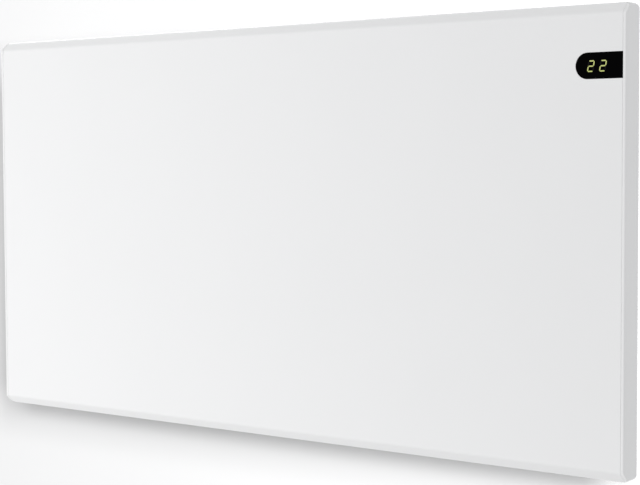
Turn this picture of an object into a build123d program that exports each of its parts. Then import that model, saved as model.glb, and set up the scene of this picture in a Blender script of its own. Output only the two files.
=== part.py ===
from build123d import *
import math
import os

# Wall panel convector heater on its wall bracket. Millimetres.
# X runs right as seen from the room, Y runs into the wall, Z runs up.
# Origin: centre of the bracket's four wall-screw slots, on the wall plane y = 0.

# ---------------------------------------------------------------- driving sizes
# Front shell
panel_width = 700.0
panel_height = 370.0
total_depth = 84.0
cover_depth = 22.0
cover_sheet = 1.0
edge_bevel = 8.0
bevel_bend = 4.5
corner_radius = 5.0
cover_flange = 16.0
cap_rim = 3.0
cap_wall = 2.0
cap_front_radius = 1.2
seam_roll = 0.6
cap_tongue = 8.0
cap_tongue_wall = 1.5
cap_boss = 8.0
cap_boss_depth = 12.0
cap_boss_drop = 4.0
cap_side_screw_z = 80.0
cap_side_boss_radius = 3.2
cap_clearance = 0.15

# Display window and its digits
window_length = 40.0
window_height = 20.2
window_drop = 48.0
window_lip = 2.0
window_lip_thickness = 1.5
window_clearance = 0.15
digit_height = 8.85
digit_width = 5.4
digit_stroke = 0.92
digit_gap = 0.15
digit_slant = 9.0
digit_pitch = 10.25
digit_drop = 0.35
last_digit_inset = 16.65

# Rear case
wall_gap = 22.0
case_sheet = 0.8
case_side_inset = 20.0
case_end_inset = 15.0
case_flange = 8.0
case_bend = 3.0
bead_count = 3
bead_pitch = 62.0
bead_top_drop = 80.0
bead_width = 9.0
bead_depth = 1.2
bead_end_inset = 110.0

# Air slots
cover_slot_length = 9.0
cover_slot_width = 3.0
cover_slot_pitch = 9.0
cover_slot_margin = 40.0
cover_slot_offset = 0.4
case_slot_length = 28.0
case_slot_width = 4.0
case_slot_pitch = 12.0
case_slot_margin = 30.0

# Heating element
tube_radius = 4.0
leg_spacing = 30.0
element_rise = 95.0
bend_overhang = 6.0
fin_thickness = 0.6
fin_pitch = 8.0
fin_margin = 5.0
fin_height = 64.0
fin_first_gap = 10.0
fin_last_gap = 16.0
support_sheet = 1.2
support_left_inset = 58.0
support_right_gap = 36.0
support_foot = 12.0
support_margin = 6.0
bush_radius = 6.0
bush_collar = 8.0
bush_length = 6.0
bush_collar_thickness = 2.0
tube_end_overhang = 6.0
stud_radius = 2.0
stud_length = 12.0

# Heat shield and partition
shield_sheet = 0.6
shield_left_reach = 29.0
shield_right_reach = 10.0
shield_low_rise = 45.0
shield_high_drop = 65.0
shield_rivet_inset = 20.0
shield_front_gap = 1.2
shield_hole_radius = 9.0
partition_inset = 80.0
partition_front_gap = 1.4
partition_rivet_inset = 25.0
partition_end_gap = 1.0

# Over-temperature cut-out
cutout_rise = 49.0
cutout_radius = 8.0
cutout_sense_length = 10.0
cutout_back_length = 7.2
cutout_flange_height = 30.0
cutout_flange_width = 17.0
cutout_flange_thickness = 1.0
cutout_screw_offset = 11.5
blade_width = 6.3
blade_thickness = 0.8
blade_length = 8.0

# Controls behind the window
housing_wall = 1.5
housing_left_inset = 62.0
housing_right_inset = 12.0
housing_low_drop = 67.0
housing_roof_drop = 4.5
housing_boss = 6.0
housing_boss_depth = 12.0
housing_rear_gap = 0.2
board_thickness = 1.6
board_margin = 0.5
board_top_margin = 1.0
module_width = 23.0
module_height = 17.0
module_depth = 6.0
module_side_margin = 0.5
board_post_radius = 2.0
board_post_inset = 4.0

# Push buttons
button_pitch = 13.0
last_button_inset = 24.0
button_width = 9.0
button_depth = 7.0
button_corner = 2.0
button_sink = 0.2
button_edge = 0.4
button_travel = 0.8
button_flange = 0.7
button_flange_thickness = 1.0
button_side_clearance = 0.25
button_stem_radius = 1.6
button_stem_clearance = 0.3
push_switch_width = 6.2
push_switch_height = 6.0
push_switch_depth = 6.6
push_switch_drop = 11.0
push_switch_bore_depth = 3.0
button_stop_gap = 0.4
button_mark_depth = 0.3
button_mark_stroke = 0.8
button_mark_reach = 2.0

# Power board
power_board_gap = 8.0
power_board_rise = 21.0
power_board_width = 60.0
power_board_height = 106.0
power_board_spacer = 6.0
spacer_radius = 3.0
spacer_inset = 4.5
board_terminal_first = 11.0
board_terminal_pitch = 10.0
board_mouth_top = 10.0
board_mouth_height = 7.0
board_mouth_width = 5.0
board_lead_depth = 5.0
ribbon_header_dz = 78.0
ribbon_header_height = 8.0
ribbon_header_depth = 7.0

# Blocks on the power board: from its lower left corner along X and Z, then width, height and depth
relay_block = (5.0, 62.0, 18.0, 26.0, 15.0)
relay_corner = 1.0
transformer_core = (30.0, 24.0, 25.0, 28.0, 18.0)
transformer_bobbin = (33.0, 21.0, 19.0, 34.0, 15.0)
capacitor_block = (5.0, 38.0, 18.0, 9.0, 13.0)

# Terminal block, earth stud, gland, sensor
block_gap = 8.0
block_rise = 20.0
block_width = 36.0
block_depth = 15.0
block_height = 16.0
block_ways = 3
block_screw_radius = 2.2
block_screw_height = 1.0
block_mouth_radius = 2.0
block_mouth_depth = 4.0
earth_inset = 27.0
earth_rise = 28.0
earth_stud_radius = 2.0
earth_stud_length = 13.0
earth_nut_flats = 7.0
earth_nut_height = 3.2
earth_foot_thickness = 1.0
earth_tag_radius = 4.0
earth_tag_thickness = 1.2
earth_tag_width = 3.6
earth_tag_length = 10.0
gland_inset = 24.0
gland_bore_radius = 3.6
gland_thread_radius = 8.0
gland_flange_radius = 11.0
gland_flange_thickness = 4.0
gland_inner_length = 12.0
gland_nut_flats = 20.0
gland_nut_height = 4.0
gland_cap_radius = 9.5
gland_cap_height = 8.5
gland_cap_bore = 4.6
hole_clearance = 0.1
sensor_gap = 26.0
sensor_radius = 2.0
sensor_holder_radius = 4.0
sensor_holder_flange = 6.0
sensor_holder_flange_thickness = 1.5
sensor_reach = 7.0
sensor_stem = 4.0

# Power switch
switch_rise = 70.0
switch_bezel_height = 32.0
switch_bezel_width = 17.0
switch_bezel_thickness = 2.5
switch_body_height = 29.0
switch_body_depth = 18.0
switch_wall = 1.5
switch_side_wall = 1.6
rocker_half_length = 12.0
rocker_width = 10.4
rocker_side_gap = 0.3
rocker_end_gap = 1.2
rocker_crown = 3.5
rocker_pin_radius = 1.0
rocker_pin_clearance = 0.05
rocker_swing = 10.0
switch_blade_offset = 8.0

# Screws and rivets
screw_radius = 1.7
screw_clearance = 0.1
screw_head_radius = 3.0
screw_head_height = 2.0
screw_length = 8.0
rivet_radius = 1.6
rivet_clearance = 0.05
rivet_head_radius = 3.0
rivet_head_height = 1.0
cover_screw_count = 4
cover_screw_span = 560.0
small_screw_head_radius = 2.3

# Wall bracket
screw_inset_x = 150.0
screw_inset_z = 65.0
wall_slot_length = 12.0
wall_slot_width = 5.5
bracket_sheet = 1.5
upright_width = 34.0
upright_rise = 8.0
upright_drop = 24.0
hook_flange_depth = 19.0
hook_flange_drop = 10.0
hook_chamfer = 3.0
stop_tab_width = 8.0
stop_tab_drop = 11.5
rail_height = 32.0
rail_lap = 8.0
top_rail_drop = 20.0
bottom_rail_rise = 38.0
bottom_rail_flange = 8.0
shelf_depth = 19.5
buffer_radius = 6.0
buffer_inset_x = 14.0

# Tilt pins and ears
pivot_setback = 10.0
pivot_rise = 24.0
pin_radius = 3.0
pin_clearance = 0.05
pin_head_radius = 4.5
pin_head_thickness = 2.0
hook_lift = 9.0
ear_sheet = 1.5
ear_gap = 0.5
ear_radius = 7.0
ear_foot = 14.0
ear_foot_height = 32.0
ear_heel_forward = 4.2
ear_heel_drop = 16.5
ear_heel_width = 5.0

# Quarter-turn locks
lock_inset = 67.0
lock_setback = 11.0
lock_shaft_radius = 4.0
lock_collar_radius = 7.0
lock_collar_height = 1.2
lock_neck_width = 5.0
lock_neck_height = 4.0
lock_head_height = 8.0
lock_head_length = 7.0
lock_reach = 20.0
lock_nib_drop = 15.0
lock_step = 1.0
lock_boss_wall = 2.5
lock_thumb_length = 18.0
lock_thumb_thickness = 4.0
lock_top_drop = 9.0
lock_clip_radius = 7.0
lock_clip_thickness = 1.0
lock_tail = 2.5
lock_groove_depth = 1.0
lock_running_gap = 0.1
keyhole_margin = 1.0
keyhole_neck_half = 3.6

# Internal leads
lead_radius = 1.1
lead_bend = 5.0
lead_stand_off = 10.0
ribbon_width = 12.0
ribbon_thickness = 0.8

# ------------------------------------------------------------- derived planes
half_width = panel_width / 2
half_height = panel_height / 2
front_y = -total_depth
cover_back_y = front_y + cover_depth
case_back_y = -wall_gap
case_floor_y = case_back_y - case_sheet
case_half_x = half_width - case_side_inset
case_half_z = half_height - case_end_inset
seam_x = half_width - cap_rim
window_z = half_height - window_drop
window_left_x = seam_x - window_length
top_inner_z = half_height - cover_sheet
flange_screw_z = case_half_z + case_flange / 2
case_depth = total_depth - cover_depth - wall_gap
element_y = (cover_back_y + case_back_y) / 2
element_height = -case_half_z + element_rise
fin_depth = case_depth - 2 * fin_margin
partition_x = case_half_x - partition_inset
support_left_x = -case_half_x + support_left_inset
support_right_x = partition_x - support_right_gap
bend_centre_x = support_left_x - bend_overhang
fin_first_x = support_left_x + fin_first_gap
fin_last_x = support_right_x - fin_last_gap
shield_left_x = support_left_x - shield_left_reach
shield_right_x = support_right_x + shield_right_reach
shield_low_z = -case_half_z + shield_low_rise
shield_high_z = case_half_z - shield_high_drop
cutout_z = element_height + cutout_rise
power_board_x = partition_x + power_board_gap
power_board_z = cutout_z + power_board_rise
block_x = partition_x + block_gap
block_z = -case_half_z + block_rise
earth_x = case_half_x - earth_inset
earth_z = -case_half_z + earth_rise
gland_x = case_half_x - gland_inset
sensor_x = partition_x + sensor_gap
switch_z = -case_half_z + switch_rise
leg_zs = (element_height + leg_spacing / 2, element_height - leg_spacing / 2)
tube_end_x = partition_x + tube_end_overhang
pivot_y = -pivot_setback
pivot_z = -case_half_z + pivot_rise
screw_spacing_x = panel_width - 2 * screw_inset_x
screw_spacing_z = panel_height - 2 * screw_inset_z
hook_x = screw_spacing_x / 2 + upright_width / 2
hook_flange_end_z = pivot_z - hook_flange_drop
stop_tab_top_z = pivot_z - stop_tab_drop
upright_bottom_z = pivot_z - upright_drop
top_rail_z = case_half_z - top_rail_drop
upright_top_z = top_rail_z + upright_rise
bottom_rail_z = pivot_z + bottom_rail_rise
lock_x = hook_x - lock_inset
lock_nib_z = case_half_z - lock_nib_drop
lock_top_z = half_height - lock_top_drop
window_back_y = front_y + cover_sheet + window_lip_thickness
housing_left_x = half_width - housing_left_inset
housing_right_x = half_width - housing_right_inset
housing_low_z = half_height - housing_low_drop
housing_roof_z = half_height - housing_roof_drop
housing_back_y = cover_back_y - cover_sheet - housing_rear_gap
control_board_y = window_back_y + module_depth
button_y = control_board_y + board_thickness + push_switch_depth / 2
push_switch_top_z = half_height - push_switch_drop
button_xs = [half_width - last_button_inset - (2 - i) * button_pitch for i in range(3)]
power_board_y = case_floor_y - power_board_spacer
power_face_y = power_board_y - board_thickness
pivot_rocker_x = case_half_x + switch_bezel_thickness - rocker_crown - 1.0


# -------------------------------------------------------------------- helpers
def box(x0, x1, y0, y1, z0, z1):
    """Box between two opposite corners."""
    centre = Pos((x0 + x1) / 2, (y0 + y1) / 2, (z0 + z1) / 2)
    return centre * Box(abs(x1 - x0), abs(y1 - y0), abs(z1 - z0))


def rod(axis, radius, start, stop, x=0.0, y=0.0, z=0.0):
    """Round bar along one axis, from start to stop on that axis."""
    middle = (start + stop) / 2
    turns = {"X": Rot(0, 90, 0), "Y": Rot(90, 0, 0), "Z": Rot(0, 0, 0)}
    places = {"X": Pos(middle, y, z), "Y": Pos(x, middle, z), "Z": Pos(x, y, middle)}
    return places[axis] * turns[axis] * Cylinder(radius, abs(stop - start))


def ring(axis, outer, inner, start, stop, x=0.0, y=0.0, z=0.0):
    """Round bar with a through bore."""
    return rod(axis, outer, start, stop, x, y, z) - rod(axis, inner, start, stop, x, y, z)


def plate_x(points, x0, x1):
    """Flat plate of the outline points (y, z), from x0 to x1."""
    outline = Polyline(*[(x0, y, z) for y, z in points], close=True)
    return extrude(make_face(outline), amount=x1 - x0, dir=(1, 0, 0))


def plate_y(points, y0, y1):
    """Flat plate of the outline points (x, z), from y0 to y1."""
    outline = Polyline(*[(x, y0, z) for x, z in points], close=True)
    return extrude(make_face(outline), amount=y1 - y0, dir=(0, 1, 0))


def hexagon_nut(axis, flats, bore, start, stop, x=0.0, y=0.0, z=0.0):
    """Six-sided nut with a plain bore."""
    blank = extrude(RegularPolygon(flats / 2, 6, major_radius=False), amount=abs(stop - start) / 2,
                    both=True)
    turns = {"Y": Rot(90, 0, 0), "Z": Rot(0, 0, 0)}
    middle = (start + stop) / 2
    places = {"Y": Pos(x, middle, z), "Z": Pos(x, y, middle)}
    return places[axis] * turns[axis] * blank - rod(axis, bore, start, stop, x, y, z)


def mirrored(solid):
    """The same piece on the other side of the heater's middle."""
    return mirror(solid, about=Plane.YZ)


def both_sides(solid):
    """The piece and its mirror image."""
    return [solid, mirrored(solid)]


def group(solids):
    """Separate solids kept in one node."""
    flat = []
    for item in solids:
        flat.extend(item.solids())
    return Compound(children=flat)


def rear_screw(x, z, seat_y, length=screw_length, head=screw_head_radius):
    """Pan-head screw driven forward from behind, its head seated at seat_y."""
    screw = rod("Y", screw_radius, seat_y - length, seat_y, x=x, z=z)
    cap = rod("Y", head, seat_y, seat_y + screw_head_height, x=x, z=z)
    cap = fillet(cap.edges().group_by(Axis.Y)[-1], 0.35 * screw_head_height)
    return screw + cap


def screw_hole(axis, x=0.0, y=0.0, z=0.0, start=0.0, stop=0.0):
    """Clearance hole for a screw."""
    return rod(axis, screw_radius + screw_clearance, start, stop, x, y, z)


def rivet(x, z, front, back):
    """Rivet that clamps sheets between front and back along Y."""
    shank = rod("Y", rivet_radius, front, back, x=x, z=z)
    first = rod("Y", rivet_head_radius, front - rivet_head_height, front, x=x, z=z)
    last = rod("Y", rivet_head_radius, back, back + rivet_head_height, x=x, z=z)
    first = fillet(first.edges().group_by(Axis.Y)[0], 0.6 * rivet_head_height)
    last = fillet(last.edges().group_by(Axis.Y)[-1], 0.6 * rivet_head_height)
    return shank + first + last


def rivet_hole(x, z):
    """Hole for one rivet through the case's rear wall and what lies on it."""
    reach = 4.0
    return rod("Y", rivet_radius + rivet_clearance, case_floor_y - reach, case_back_y + reach, x=x, z=z)


def lead(points, bend=lead_bend):
    """Insulated lead swept along straight runs joined by arcs."""
    path = FilletPolyline(*points, radius=bend)
    section = path ^ 0
    return sweep(Plane(origin=section.position, z_dir=section.z_axis.direction) * Circle(lead_radius),
                 path=path)


# ---------------------------------------------------------------- front shell
def shell_form(inset, front_radius):
    """The front shell's outer form, moved inwards by inset on all sides but the rear."""
    y0, y1 = front_y + inset, cover_back_y
    top = half_height - inset
    leg = edge_bevel - inset * (2 - math.sqrt(2))
    bend = max(bevel_bend - inset, 0.5)
    corners = [(y1, -top), (y0 + leg, -top), (y0, -top + leg), (y0, top - leg), (y0 + leg, top), (y1, top)]
    half = half_width - inset
    side = FilletPolyline(*[(-half, y, z) for y, z in corners], radius=[0, bend, bend, bend, bend, 0],
                          close=True)
    along = extrude(make_face(side), amount=2 * half, dir=(1, 0, 0))
    face = RectangleRounded(2 * half, 2 * top, corner_radius - inset)
    depth = y1 - y0
    front = Pos(0, y1, 0) * Rot(90, 0, 0) * extrude(face, amount=depth)
    form = along & front
    if front_radius > 0:
        plan = [(-half, y1), (-half, y0), (half, y0), (half, y1)]
        outline = FilletPolyline(*[(x, y, -top) for x, y in plan],
                                 radius=[0, front_radius, front_radius, 0], close=True)
        form = form & extrude(make_face(outline), amount=2 * top, dir=(0, 0, 1))
    return form


def window_form(grow, y0, y1, right_x):
    """Half-stadium of the display window: round at its left, square at right_x."""
    radius = window_height / 2
    centre_x = window_left_x + radius
    round_end = rod("Y", radius + grow, y0, y1, x=centre_x, z=window_z)
    straight = box(centre_x, right_x, y0, y1, window_z - radius - grow, window_z + radius + grow)
    return round_end + straight


def button_form(grow, z0, z1, x, corner=button_corner):
    """Rounded block of one push button between two heights."""
    face = RectangleRounded(button_width + 2 * grow, button_depth + 2 * grow, corner + grow)
    return Pos(x, button_y, z0) * extrude(face, amount=z1 - z0)


def slot_row(first_x, last_x, pitch, length, width, y, z, sheet):
    """Round-ended slots along Y, in a row along X, through a level wall at height z."""
    count = int((last_x - first_x) / pitch) + 1
    face = SlotOverall(length, width, rotation=90)
    return [Pos(first_x + i * pitch, y, z) * extrude(face, amount=2 * sheet, both=True)
            for i in range(count)]


def cover_screw_xs():
    """Places of the screws along each long edge."""
    step = cover_screw_span / (cover_screw_count - 1)
    return [-cover_screw_span / 2 + i * step for i in range(cover_screw_count)]


def side_screw_x():
    """Middle of the case's side flange, where its screws enter the end cap."""
    return case_half_x + case_flange / 2


def cap_screw_x():
    """Middle of the end cap's boss."""
    return seam_x - cap_boss / 2


def cap_screw_z():
    """Height of the screw in the end cap's boss."""
    return half_height - cover_flange / 2 - 1.0


def housing_screw_xs():
    """Middles of the control housing's two bosses."""
    return (housing_left_x + housing_boss / 2, housing_right_x - housing_boss / 2)


def housing_screw_z():
    """Height of the control housing's screws, above the case's flange."""
    return (case_half_z + case_flange + half_height - cover_sheet) / 2


def seam_edges(face):
    """Edges of an end face at the seam, without the one at the back."""
    return face.edges().filter_by(lambda edge: edge.center().Y < cover_back_y - 0.01)


def front_cover():
    """Pressed sheet cover with bevelled long edges and a flange along the back of each."""
    form = shell_form(0.0, 0.0) & box(-seam_x, seam_x, front_y, cover_back_y, -half_height, half_height)
    for end in (0, -1):
        form = fillet(seam_edges(form.faces().sort_by(Axis.X)[end]), seam_roll)
    hollow = shell_form(cover_sheet, 0.0)
    flange_y = cover_back_y - cover_sheet
    reach = half_width + 1.0
    flange_inner = half_height - cover_flange
    middle = box(-reach, reach, flange_y, cover_back_y + 1.0, -flange_inner, flange_inner)
    core = box(-reach, reach, front_y, flange_y, -half_height, half_height)
    cover = form - (hollow & core) - middle
    cover -= window_form(window_clearance, front_y - 1.0, front_y + cover_sheet + 0.5, half_width)
    slots_y = (front_y + edge_bevel + flange_y) / 2 + cover_slot_offset
    last_x = housing_left_x - cover_slot_pitch
    for side in (1, -1):
        cover -= slot_row(-half_width + cover_slot_margin, last_x, cover_slot_pitch, cover_slot_length,
                          cover_slot_width, slots_y, side * (half_height - cover_sheet / 2), cover_sheet)
    for x in button_xs:
        cover -= button_form(button_side_clearance, half_height - 2 * cover_sheet, half_height + 1.0, x)
    holes = []
    for side in (1, -1):
        for x in cover_screw_xs():
            holes.append(screw_hole("Y", x=x, z=side * flange_screw_z, start=flange_y - 1,
                                    stop=cover_back_y + 1))
        for end in (1, -1):
            holes.append(screw_hole("Y", x=end * cap_screw_x(), z=side * cap_screw_z(),
                                    start=flange_y - 1, stop=cover_back_y + 1))
    for x in housing_screw_xs():
        holes.append(screw_hole("Y", x=x, z=housing_screw_z(), start=flange_y - 1, stop=cover_back_y + 1))
    return cover - holes


def right_end_cap():
    """Moulded cap: thin rim outside the seam, tongues and screw bosses inside the cover."""
    form = shell_form(0.0, cap_front_radius)
    rim = form & box(seam_x, half_width, front_y, cover_back_y, -half_height, half_height)
    rim = fillet(seam_edges(rim.faces().sort_by(Axis.X)[0]), seam_roll)
    rim -= shell_form(cap_wall, 0.0) & box(0, half_width - cap_wall, front_y, cover_back_y, -half_height,
                                           half_height)
    outside = shell_form(cover_sheet + cap_clearance, 0.0)
    inside = shell_form(cover_sheet + cap_clearance + cap_tongue_wall, 0.0)
    flange_y = cover_back_y - cover_sheet - cap_clearance
    tongue = (outside - inside) & box(seam_x - cap_tongue, half_width - cap_wall, front_y, flange_y,
                                      -half_height, half_height)
    gap_low = window_z - window_height / 2 - 2 * window_lip - 4.0
    gap_high = window_z + window_height / 2 + 2 * window_lip + 1.0
    tongue -= box(0, half_width, front_y, cover_back_y, gap_low, gap_high)
    tongue -= box(0, half_width, front_y, cover_back_y, -gap_high, -gap_low)
    back_half = half_height - cover_flange - 2 * cap_clearance
    back = box(case_half_x + cover_sheet, half_width - cap_wall, housing_back_y, cover_back_y, -back_half,
               back_half)
    cap = rim + tongue + back
    roof = half_height - cover_sheet - cap_clearance
    for side in (1, -1):
        boss = box(seam_x - cap_boss, half_width - cap_wall, flange_y - cap_boss_depth, flange_y,
                   side * (cap_screw_z() - cap_boss_drop), side * roof)
        cap += boss & outside
        cap += rod("Y", cap_side_boss_radius, cover_back_y - screw_length - 1, cover_back_y,
                   x=side_screw_x(), z=side * cap_side_screw_z)
    for side in (1, -1):
        cap -= rod("Y", screw_radius, cover_back_y - screw_length - 1, cover_back_y + 1,
                   x=cap_screw_x(), z=side * cap_screw_z())
        cap -= rod("Y", screw_radius, cover_back_y - screw_length, cover_back_y + 1,
                   x=side_screw_x(), z=side * cap_side_screw_z)
    return cap


def flange_screws():
    """Short screws through the cover's flanges: four into the end caps, two into the housing."""
    screws = []
    for side in (1, -1):
        screws += both_sides(rear_screw(cap_screw_x(), side * cap_screw_z(), cover_back_y,
                                        head=small_screw_head_radius))
    for x in housing_screw_xs():
        screws.append(rear_screw(x, housing_screw_z(), cover_back_y, head=small_screw_head_radius))
    return group(screws)


def cover_screws():
    """Screws that join the rear case to the cover's flanges and to the end caps."""
    seat = cover_back_y + case_sheet
    screws = [rear_screw(x, side * flange_screw_z, seat) for side in (1, -1) for x in cover_screw_xs()]
    for side in (1, -1):
        screws += both_sides(rear_screw(side_screw_x(), side * cap_side_screw_z, seat))
    return group(screws)


# ------------------------------------------------------------- display window
def segment_outlines():
    """The seven segments of one digit, as (x, z) outlines about its centre, upright."""
    w, h, s, g = digit_width / 2, digit_height / 2, digit_stroke / 2, digit_gap

    def bar(x0, z0, x1, z1):
        length = math.hypot(x1 - x0, z1 - z0)
        ux, uz = (x1 - x0) / length, (z1 - z0) / length
        start, stop = g, length - g
        steps = [(start, 0), (start + s, s), (stop - s, s), (stop, 0), (stop - s, -s), (start + s, -s)]
        return [(x0 + a * ux - b * uz, z0 + a * uz + b * ux) for a, b in steps]

    w, h = w - s, h - s
    return {
        "a": bar(-w, h, w, h), "b": bar(w, 0, w, h), "c": bar(w, -h, w, 0), "d": bar(-w, -h, w, -h),
        "e": bar(-w, -h, -w, 0), "f": bar(-w, 0, -w, h), "g": bar(-w, 0, w, 0),
    }


def display_segments(names, grow_y=0.0):
    """Light windows of the named segments in both digits, through the display window."""
    lean = math.tan(math.radians(digit_slant))
    outlines = segment_outlines()
    solids = []
    for digit in range(2):
        centre_x = seam_x - last_digit_inset - (1 - digit) * digit_pitch
        for name in names:
            points = [(centre_x + x + z * lean, window_z - digit_drop + z) for x, z in outlines[name]]
            solids.append(plate_y(points, front_y - grow_y, window_back_y + grow_y))
    return solids


def display_window():
    """Black window flush in the cover, with a lip behind the sheet."""
    right = seam_x - window_clearance
    front = window_form(0.0, front_y, window_back_y, right)
    lip = window_form(window_lip, front_y + cover_sheet, window_back_y, right)
    return front + lip - display_segments("abcdefg", grow_y=1.0)


def display_module():
    """Light block behind the window that carries the digits' lamps."""
    right = housing_right_x - housing_wall - module_side_margin
    return box(right - module_width, right, window_back_y, window_back_y + module_depth,
               window_z - module_height / 2, window_z + module_height / 2)


def control_housing():
    """Moulded box behind the window, open to the front, with two screw bosses."""
    wall = housing_wall
    x0, x1 = housing_left_x, housing_right_x
    body = box(x0, x1, window_back_y, housing_back_y, housing_low_z, housing_roof_z)
    body -= box(x0 + wall, x1 - wall, window_back_y - 1, housing_back_y - wall,
                housing_low_z + wall, housing_roof_z - wall)
    board_low = housing_low_z + wall + board_margin
    boss_low = push_switch_top_z + board_top_margin + board_margin
    inset = board_post_inset
    for x in (x0 + wall + inset, x1 - wall - inset):
        for z in (board_low + inset, push_switch_top_z - push_switch_height - inset):
            body += rod("Y", board_post_radius, control_board_y + board_thickness,
                        housing_back_y - wall / 2, x=x, z=z)
    for x in housing_screw_xs():
        body += box(x - housing_boss / 2, x + housing_boss / 2, housing_back_y - housing_boss_depth,
                    housing_back_y, boss_low, top_inner_z - cap_clearance)
    body = body & shell_form(cover_sheet + cap_clearance, 0.0)
    for x in housing_screw_xs():
        body -= rod("Y", screw_radius, housing_back_y - 9.0, housing_back_y + 1.0, x=x, z=housing_screw_z())
    for x in button_xs:
        body -= rod("Z", button_stem_radius + button_stem_clearance, housing_roof_z - 2 * wall,
                    housing_roof_z + 1.0, x=x, y=button_y)
    ribbon = ribbon_route()
    low_z = ribbon[0][1]
    body -= box(ribbon_x0() - 0.6, ribbon_x0() + ribbon_width + 0.6, housing_back_y - 2 * wall,
                housing_back_y + 1.0, low_z - ribbon_thickness - 0.6, low_z + ribbon_thickness + 0.6)
    return body


def control_board():
    """Circuit board that carries the display module and the push switches."""
    wall = housing_wall + board_margin
    return box(housing_left_x + wall, housing_right_x - wall, control_board_y,
               control_board_y + board_thickness, housing_low_z + wall, push_switch_top_z + board_top_margin)


def push_switches():
    """Three push switches on the back of the board, each with a bore for a button's stem."""
    y0 = control_board_y + board_thickness
    solids = []
    for x in button_xs:
        body = box(x - push_switch_width / 2, x + push_switch_width / 2, y0, y0 + push_switch_depth,
                   push_switch_top_z - push_switch_height, push_switch_top_z)
        bore = rod("Z", button_stem_radius + button_stem_clearance,
                   push_switch_top_z - push_switch_bore_depth, push_switch_top_z + 1.0, x=x, y=button_y)
        solids.append(body - bore)
    return group(solids)


def button(x, mark):
    """Push button: cap through the cover, flange under the sheet, stem into its switch."""
    flange_top = half_height - cover_sheet - cap_clearance
    flange_low = flange_top - button_flange_thickness
    top = half_height - button_sink
    cap = button_form(0.0, flange_low, top, x)
    cap = fillet(cap.edges().group_by(Axis.Z)[-1], button_edge)
    flange = button_form(button_flange, flange_low, flange_top, x)
    stem_tip = push_switch_top_z - push_switch_bore_depth + button_travel + button_stop_gap
    stem = rod("Z", button_stem_radius, stem_tip, flange_low, x=x, y=button_y)
    depth, stroke, reach = button_mark_depth, button_mark_stroke, button_mark_reach
    marks = {
        "minus": [box(x - reach, x + reach, button_y - stroke / 2, button_y + stroke / 2, top - depth,
                      top + 1)],
        "plus": [box(x - reach, x + reach, button_y - stroke / 2, button_y + stroke / 2, top - depth,
                     top + 1),
                 box(x - stroke / 2, x + stroke / 2, button_y - reach, button_y + reach, top - depth,
                     top + 1)],
        "set": [ring("Z", reach, reach - stroke, top - depth, top + 1, x=x, y=button_y)],
    }
    return cap + flange + stem - marks[mark]


# ------------------------------------------------------------------ rear case
def rivet_places():
    """(x, z, front y) of each rivet in the case's rear wall, by what it holds."""
    support_zs = [element_height - fin_height / 4, element_height + fin_height / 4]
    places = {"support": [], "shield": [], "partition": [], "ear": []}
    foot_mid = support_foot / 2
    for z in support_zs:
        places["support"].append((support_left_x - foot_mid, z))
        places["support"].append((support_right_x - foot_mid, z))
    for z in (shield_low_z + shield_rivet_inset, shield_high_z - shield_rivet_inset):
        places["shield"].append((shield_left_x - foot_mid, z))
        places["shield"].append((shield_right_x + foot_mid, z))
    for z in (-case_half_z + partition_rivet_inset, 0.0, case_half_z - partition_rivet_inset):
        places["partition"].append((partition_x - foot_mid, z))
    for z in ear_rivet_zs():
        for side in (1, -1):
            places["ear"].append((side * (ear_outer_x() + ear_foot / 2 + 1.0), z))
    return places


def ear_outer_x():
    """Outer face of the hinge ear's upright plate."""
    return hook_x + ear_gap + ear_sheet


def ear_rivet_zs():
    """Heights of the two rivets in each ear's foot."""
    return (pivot_z - ear_foot_height / 4, pivot_z + ear_foot_height / 4)


def case_rivets():
    """All rivets of the rear case."""
    thickness = {"support": support_sheet, "shield": shield_sheet, "partition": case_sheet}
    solids = []
    for kind, places in rivet_places().items():
        for x, z in places:
            if kind == "ear":
                solids.append(rivet(x, z, case_floor_y, case_back_y + ear_sheet))
            else:
                solids.append(rivet(x, z, case_floor_y - thickness[kind], case_back_y))
    return group(solids)


def all_rivet_holes():
    """Holes for every rivet in the rear case."""
    return [rivet_hole(x, z) for places in rivet_places().values() for x, z in places]


def keyhole(side):
    """Slot that a quarter-turn lock's nib swings through: narrow at the lock, wide beside it."""
    y0, y1 = case_floor_y - 1.0, case_back_y + 1.0
    neck_half_z = lock_neck_height / 2 + keyhole_margin
    head_half_z = lock_head_height / 2 + keyhole_margin
    near = side * (lock_x - keyhole_neck_half)
    neck = side * (lock_x + keyhole_neck_half)
    far = side * (lock_x + lock_reach + keyhole_margin)
    narrow = box(near, neck, y0, y1, lock_nib_z - neck_half_z, lock_nib_z + neck_half_z)
    wide = box(neck, far, y0, y1, lock_nib_z - head_half_z, lock_nib_z + head_half_z)
    return narrow + wide


def bead_form(grow, y0, y1, z):
    """Round-ended block of one stiffening bead across the case's rear wall."""
    x0 = support_left_x + bead_end_inset
    x1 = support_right_x - bead_end_inset
    face = SlotOverall(x1 - x0 + 2 * grow, bead_width + 2 * grow)
    return Pos((x0 + x1) / 2, y1, z) * Rot(90, 0, 0) * extrude(face, amount=y1 - y0)


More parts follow.
